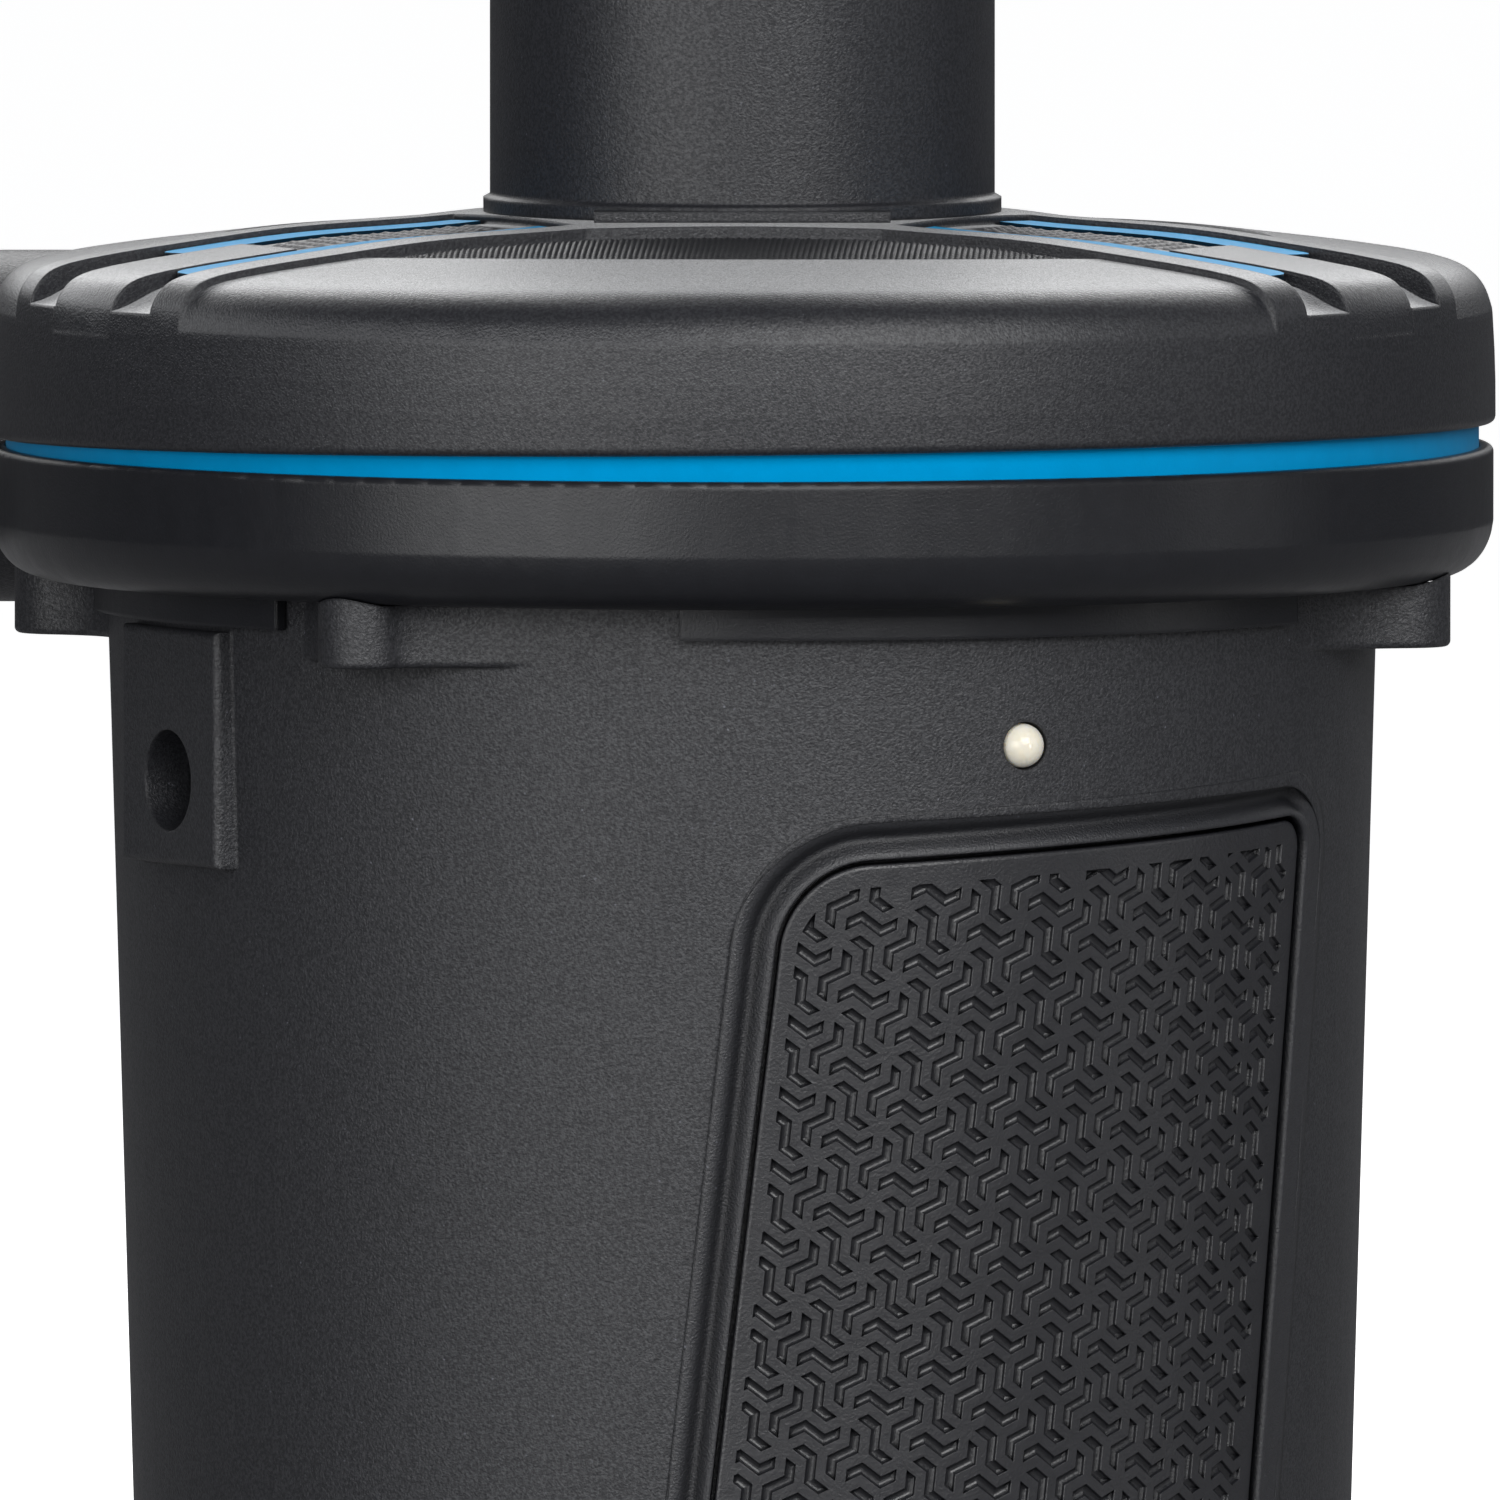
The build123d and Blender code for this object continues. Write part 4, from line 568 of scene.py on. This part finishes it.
def rounded_outline():
    """(point, outward normal) pairs along the gap around a grip, clockwise."""
    arcs = []
    for i, (corner, radius) in enumerate(CORNERS):
        corner = np.array(corner)
        back = unit(CORNERS[i - 1][0] - corner)
        ahead = unit(CORNERS[(i + 1) % len(CORNERS)][0] - corner)
        half = math.acos(float(np.dot(back, ahead))) / 2
        centre = corner + unit(back + ahead) * radius / math.sin(half)
        reach = math.tan(half)
        arcs.append((centre, radius, corner + back * radius / reach,
                     corner + ahead * radius / reach))
    result = []
    for i, (centre, radius, start, end) in enumerate(arcs):
        angle0 = math.atan2(start[1] - centre[1], start[0] - centre[0])
        angle1 = math.atan2(end[1] - centre[1], end[0] - centre[0])
        while angle1 > angle0:
            angle1 -= 2 * math.pi
        count = max(6, int((angle0 - angle1) * radius / (OUTLINE_STEP * 0.45)))
        for j in range(count + 1):
            angle = angle0 + (angle1 - angle0) * j / count
            normal = np.array((math.cos(angle), math.sin(angle)))
            result.append((centre + radius * normal, normal))
        straight = arcs[(i + 1) % len(arcs)][2] - end
        count = max(2, int(np.linalg.norm(straight) / OUTLINE_STEP))
        for j in range(1, count):
            result.append((end + straight * j / count, normal))
    return result


GAP_LINE = rounded_outline()


def on_body(s, z, level, middle):
    """Position in metres at a level above the body's face; middle is the grip's azimuth."""
    angle = math.radians(middle) + s / UNROLL_RADIUS
    radius = BODY_TOP_RADIUS - (BODY_TOP_Z - z) * BODY_DRAFT + level
    return (radius * math.cos(angle) * MM, radius * math.sin(angle) * MM, z * MM)


# ------------------------------------------------------------------ grip bezels
# section: distance outwards from the gap line, level above the body's face
BEZEL_BACK = [(3.25, 0.012), (3.25, -0.4), (2.45, -1.9), (1.0, -1.95)]
TROUGH = [
    (0.16, -1.7), (0.16, -0.30), (0.19, -0.19), (0.27, -0.13), (0.38, -0.15), (0.78, -0.42),
    (1.08, -0.68), (1.30, -0.84), (1.48, -0.95), (1.62, -0.95), (1.80, -0.86), (1.98, -0.70),
    (2.18, -0.48), (2.40, -0.26), (2.64, -0.11), (2.92, -0.025)] + BEZEL_BACK
FLUSH = [
    (0.16, -1.7), (0.16, -0.26), (0.19, -0.12), (0.27, -0.02), (0.38, 0.02), (0.62, 0.02),
    (0.82, -0.02), (1.02, -0.05), (1.24, -0.06), (1.45, -0.06), (1.68, -0.05), (1.92, -0.04),
    (2.16, -0.03), (2.40, -0.02), (2.64, -0.01), (2.92, 0.0)] + BEZEL_BACK


def bezel(name, middle):
    """A soft-edged trough around a grip, fading to a nearly flush band along its right."""
    verts, faces = [], []
    for p, normal in GAP_LINE:
        t = clamp((normal[0] - 0.25) / 0.6)
        t = t * t * (3 - 2 * t)
        for (out0, level0), (out1, level1) in zip(TROUGH, FLUSH):
            q = p + normal * (out0 + (out1 - out0) * t)
            verts.append(on_body(q[0], q[1], level0 + (level1 - level0) * t, middle))
    size = len(TROUGH)
    for i, after in ring_edges(0, len(GAP_LINE)):
        for j, k in ring_edges(0, size):
            faces.append((i * size + j, i * size + k, after * size + k, after * size + j))
    mesh_object(name, verts, faces, "bezel_plastic", smooth=True)


# ------------------------------------------------------------------ grips
# Zigzag bars are engraved between neighbouring points of a hexagonal lattice.
LATTICE_PITCH = 5.02
LATTICE_LEAN = 6.3            # degrees, follows the leaning side edges
LATTICE_ORIGIN = (-3.54, 93.2)
LATTICE_REACH = 40            # steps tried each way
BAR_WIDTH = 0.77
BAR_START = 0.83              # distance from the lattice point
MIN_BAR_AREA = 0.06
# inset from the bar's outline, height
BAR_LEVELS = [(0.0, 0.0), (0.03, -0.03), (0.09, -0.24), (0.20, -0.33), (0.32, -0.38)]
# inset from the gap line, height
GRIP_RIM = [(0.14, -0.22), (0.19, -0.10), (0.30, -0.02), (0.45, 0.0)]
GRIP_SINK = 0.40              # the grip's face below the body's
GRIP_DEPTH = 1.55
GRIP_GRID = (3.5, 8.0)        # spacing of the underside's points along s and z


def bar_polygon(start, angle):
    """One zigzag bar: two parallel runs either side of the axis, joined by a run at -60
    degrees, with ends cut at +60 degrees. Anticlockwise."""
    sine, slope = math.sin(math.radians(60)), math.tan(math.radians(60))
    run = LATTICE_PITCH * sine / 6
    bend = (LATTICE_PITCH - 2 * run / slope) / 2
    half = BAR_WIDTH / 2
    far = LATTICE_PITCH - BAR_START

    def end_cut(x, y, centre):
        return (x + (y - centre) / slope, y)

    def middle_run(side, y):
        return (bend + (run - y) / slope + side * half / sine, y)
    points = [
        end_cut(BAR_START, run - half, run), middle_run(-1, run - half),
        middle_run(-1, -run - half), end_cut(far, -run - half, -run),
        end_cut(far, -run + half, -run), middle_run(1, -run + half),
        middle_run(1, run + half), end_cut(BAR_START, run + half, run)]
    c, s = math.cos(angle), math.sin(angle)
    return [(start[0] + x * c - y * s, start[1] + x * s + y * c) for x, y in points]


def inset_outline(distance):
    """The gap line moved inwards, anticlockwise."""
    return [tuple(p - normal * distance) for p, normal in GAP_LINE][::-1]


def border(extra):
    """Inner edge of the flat border, which is a little wider along the top and the right."""
    points = []
    for p, normal in GAP_LINE:
        width = 1.3 + 0.5 * clamp(0.5 * (normal[0] + normal[1]) + 0.35)
        points.append(tuple(p - normal * (width + extra)))
    return convex_hull(points)


def bar_loops(polygon, clips):
    """Contours of one bar, or none where the border leaves too little of it."""
    loops = []
    for (inset, height), clip in zip(BAR_LEVELS, clips):
        loop = clip_convex(inset_polygon(polygon, inset) if inset else polygon, clip)
        if len(loop) < 3 or area(loop) < MIN_BAR_AREA:
            return []
        loops.append((loop, height))
    return loops


def grip(name, node, middle):
    loops = [(inset_outline(inset), height) for inset, height in GRIP_RIM]
    clips = [border(inset) for inset, _ in BAR_LEVELS]
    first = math.radians(-90) - math.radians(LATTICE_LEAN)
    angles = [first + math.radians(turn) for turn in (0, 60, 120)]
    step1, step2 = (np.array((math.cos(a), math.sin(a))) * LATTICE_PITCH for a in angles[:2])
    s0, z0 = np.min([p for p, _ in GAP_LINE], axis=0)
    s1, z1 = np.max([p for p, _ in GAP_LINE], axis=0)
    steps = range(-LATTICE_REACH, LATTICE_REACH + 1)
    for i in steps:
        for j in steps:
            point = np.array(LATTICE_ORIGIN) + step1 * i + step2 * j
            if s0 - 6 < point[0] < s1 + 6 and z0 - 6 < point[1] < z1 + 6:
                for angle in angles:
                    loops += bar_loops(bar_polygon(point, angle), clips)
    inner = inset_outline(1.2)
    grid = [(s, z) for s in np.arange(s0 + 1.5, s1 - 1.0, GRIP_GRID[0])
            for z in np.arange(z0 + 1.5, z1 - 1.0, GRIP_GRID[1]) if inside(inner, s, z)]
    made = height_solid(name, loops, lambda s, z, h: on_body(s, z, h - GRIP_SINK, middle),
                        GRIP_DEPTH, "grip_rubber", grid=grid)
    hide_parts(node)


for side, azimuth in (("right", 300.5), ("left", 120.5)):
    bezel(f"grip_bezel_{side}", azimuth)
    grip(f"grip_{side}", f"grip_pad_{side}", azimuth)


# ------------------------------------------------------------------ knurled meshes on the cover
# Plan coordinates (u, v) in mm: u runs outwards from the axis, v across it.
# the cover's dome: radius, z
DOME = [(0, 145.05), (17.9, 145.05), (22.7, 144.7), (32.4, 144.2), (39.8, 143.4),
        (47.3, 142.42), (48.9, 142.1)]
SECTOR_AZIMUTH = 268.35       # first dished floor; the arms lie between the floors
SECTOR_LEVEL, ARM_LEVEL = -0.86, -0.62
KNURL_LIFT = 0.02
KNURL_DEPTH = 0.5


def knurl(name, azimuth, outline, level, pitch, height, stretch, material):
    """A plate of raised diamonds, pitch wide and stretched along the radius."""
    c, s = math.cos(math.radians(azimuth)), math.sin(math.radians(azimuth))
    dome_radii, dome_heights = zip(*DOME)

    def place(u, v, h):
        z = np.interp(math.hypot(u, v), dome_radii, dome_heights) + level + KNURL_LIFT + h
        return ((u * c - v * s) * MM, (u * s + v * c) * MM, z * MM)
    step_u, step_v = pitch * stretch / 2, pitch / 2
    u0, v0 = np.min(outline, axis=0) - 1
    u1, v1 = np.max(outline, axis=0) + 1
    clip = inset_polygon(outline, 0.3)
    points, edges, index = [], [], {}
    # crossings of the valleys
    for i in range(int(u0 / step_u), int(u1 / step_u) + 1):
        for j in range(int(v0 / step_v), int(v1 / step_v) + 1):
            if (i + j) % 2 == 0 and inside(clip, i * step_u, j * step_v):
                index[i, j] = len(points)
                points.append((i * step_u, j * step_v, 0.0))
    for (i, j), a in index.items():
        for dj in (1, -1):
            if (i + 1, j + dj) in index:
                edges.append((a, index[i + 1, j + dj]))
    # a peak in the middle of each whole diamond
    for i, j in index:
        if all(corner in index for corner in ((i + 1, j + 1), (i + 1, j - 1), (i + 2, j))):
            points.append(((i + 1) * step_u, j * step_v, height))
    height_solid(name, [(outline, 0.0), (inset_polygon(outline, 0.12), 0.0)], place,
                 KNURL_DEPTH, material, points=points, edges=edges)


def sector_outline():
    """Plan of the dished floor between two arms, anticlockwise."""
    gap = 0.06
    inner_u = 19.7 + gap
    arm_half = 12.0 + gap
    arc_end, arc_radius = 35.6, 47.5
    centre_u = arc_end - arc_radius
    radius = arc_radius - gap
    root3 = math.sqrt(3)

    def side(u):
        return root3 * u - 2 * arm_half
    # the sides meet the arc where (u - centre_u)^2 + side(u)^2 = radius^2
    a = 4.0
    b = -2 * centre_u - 4 * root3 * arm_half
    c = centre_u ** 2 + 4 * arm_half ** 2 - radius ** 2
    outer_u = (-b + math.sqrt(b * b - 4 * a * c)) / (2 * a)
    sweep = math.asin(side(outer_u) / radius)
    side_u = [inner_u + (outer_u - inner_u) * k / 12 for k in range(12)]
    inner_v = side(inner_u)
    points = [(u, -side(u)) for u in side_u]
    for k in range(41):
        angle = -sweep + 2 * sweep * k / 40
        points.append((centre_u + radius * math.cos(angle), radius * math.sin(angle)))
    points += [(u, side(u)) for u in side_u[::-1]]
    points += [(inner_u, inner_v - 2 * inner_v * k / 10) for k in range(1, 10)]
    return points


def arm_outline():
    """Plan of the rectangle on an arm, anticlockwise."""
    half, inner_u, outer_u = 3.42, 19.1, 36.9
    length = outer_u - inner_u
    return ([(inner_u + length * i / 8, -half) for i in range(8)]
            + [(outer_u, -half), (outer_u, 0), (outer_u, half)]
            + [(outer_u - length * i / 8, half) for i in range(1, 8)]
            + [(inner_u, half), (inner_u, 0)])


for k in range(3):
    knurl(f"cover_mesh_{k + 1}", SECTOR_AZIMUTH + 120 * k, sector_outline(), SECTOR_LEVEL,
          pitch=0.8, height=0.26, stretch=1.25, material="mesh_plastic")
for k in range(3):
    knurl(f"arm_mesh_{k + 1}", SECTOR_AZIMUTH - 60 + 120 * k, arm_outline(), ARM_LEVEL,
          pitch=0.9, height=0.24, stretch=2.7, material="mesh_arm_plastic")


# ------------------------------------------------------------------ floor and world
def floor_material():
    """Nearly white to the camera, darker to other rays, and clear from below."""
    material = bpy.data.materials.new("floor_pale")
    material.use_nodes = True
    sh = Shader(material.node_tree)
    to_camera = sh.node("LightPath").outputs["Is Camera Ray"]
    dim = sh.node("BsdfDiffuse", {"Color": (0.22, 0.22, 0.225)}).outputs[0]
    lit = sh.node("BsdfDiffuse", {"Color": (0.5, 0.5, 0.5)}).outputs[0]
    glow = sh.node("Emission", {"Color": (1, 1, 1), "Strength": 0.94}).outputs[0]
    pale = sh.node("AddShader", {0: lit, 1: glow}).outputs[0]
    above = sh.mix_shaders(to_camera, dim, pale)
    below = sh.node("NewGeometry").outputs["Backfacing"]
    clear = sh.node("BsdfTransparent").outputs[0]
    sh.node("OutputMaterial", {0: sh.mix_shaders(below, above, clear)})
    return material


def build_floor():
    mesh = bpy.data.meshes.new("floor")
    bm = bmesh.new()
    bmesh.ops.create_grid(bm, x_segments=8, y_segments=8, size=9.0)
    bm.to_mesh(mesh)
    bm.free()
    floor = bpy.data.objects.new("floor", mesh)
    scene.collection.objects.link(floor)
    floor.location = (0, 0, -0.0002)
    mesh.materials.append(floor_material())


def build_world():
    """White to the camera, a faint cool fill for everything else."""
    world = bpy.data.worlds.new("studio")
    scene.world = world
    world.use_nodes = True
    sh = Shader(world.node_tree)
    to_camera = sh.node("LightPath").outputs["Is Camera Ray"]
    fill = sh.node("Background", {"Color": (0.9, 0.93, 1.0), "Strength": 0.10}).outputs[0]
    white = sh.node("Background", {"Color": (1, 1, 1), "Strength": 1.0}).outputs[0]
    sh.node("OutputWorld", {0: sh.mix_shaders(to_camera, fill, white)})


build_floor()
build_world()

# ------------------------------------------------------------------ lights
# name, azimuth from the front towards the left (degrees), elevation (degrees), distance,
# width, height, radiance, height of the point aimed at on the axis
SOFTBOXES = [
    ("front_left", 32, 4, 1.25, 1.0, 0.8, 4.0, 0.09),
    ("front_right", -22, 26, 1.35, 1.0, 0.8, 6.6, 0.12),
    ("side_right", -78, 8, 1.3, 0.5, 0.8, 0.9, 0.12),
    ("back_left", 150, 22, 1.4, 0.9, 0.6, 0.9, 0.14),
    ("back_right", -150, 22, 1.4, 0.9, 0.6, 0.9, 0.14),
    ("back_high", 180, 42, 1.4, 1.2, 0.8, 3.6, 0.10),
    ("left_rear", 148, 40, 1.4, 0.9, 0.8, 1.1, 0.10),
    ("right_rear", -148, 40, 1.4, 0.9, 0.8, 1.1, 0.10),
]


def look_at(thing, target):
    thing.rotation_euler = (target - thing.location).to_track_quat("-Z", "Y").to_euler()


def softbox(name, azimuth, elevation, distance, width, height, radiance, aim_z):
    light = bpy.data.lights.new(name, "AREA")
    light.shape = "RECTANGLE"
    light.size, light.size_y = width, height
    light.energy = radiance * math.pi * width * height
    lamp = bpy.data.objects.new(name, light)
    scene.collection.objects.link(lamp)
    a, e = math.radians(azimuth), math.radians(elevation)
    aim = Vector((0, 0, aim_z))
    away = Vector((-math.sin(a) * math.cos(e), -math.cos(a) * math.cos(e), math.sin(e)))
    lamp.location = aim + away * distance
    look_at(lamp, aim)


for row in SOFTBOXES:
    softbox(*row)

# ------------------------------------------------------------------ camera
LENS, SENSOR = 1500.0, 36.0
VIEW_WIDTH = 103.66           # mm seen across the picture at the target
CAMERA_TARGET = Vector((0.53, 0.0, 107.75)) * MM
CAMERA_ELEVATION = math.radians(3.17)


def build_camera():
    data = bpy.data.cameras.new("camera")
    data.lens = LENS
    data.sensor_width = SENSOR
    data.clip_start = 0.05
    data.clip_end = 60.0
    camera = bpy.data.objects.new("camera", data)
    scene.collection.objects.link(camera)
    away = Vector((0, -math.cos(CAMERA_ELEVATION), math.sin(CAMERA_ELEVATION)))
    camera.location = CAMERA_TARGET + away * (VIEW_WIDTH * LENS / SENSOR * MM)
    look_at(camera, CAMERA_TARGET)
    scene.camera = camera


build_camera()
scene.view_settings.view_transform = "Standard"
scene.view_settings.look = "None"
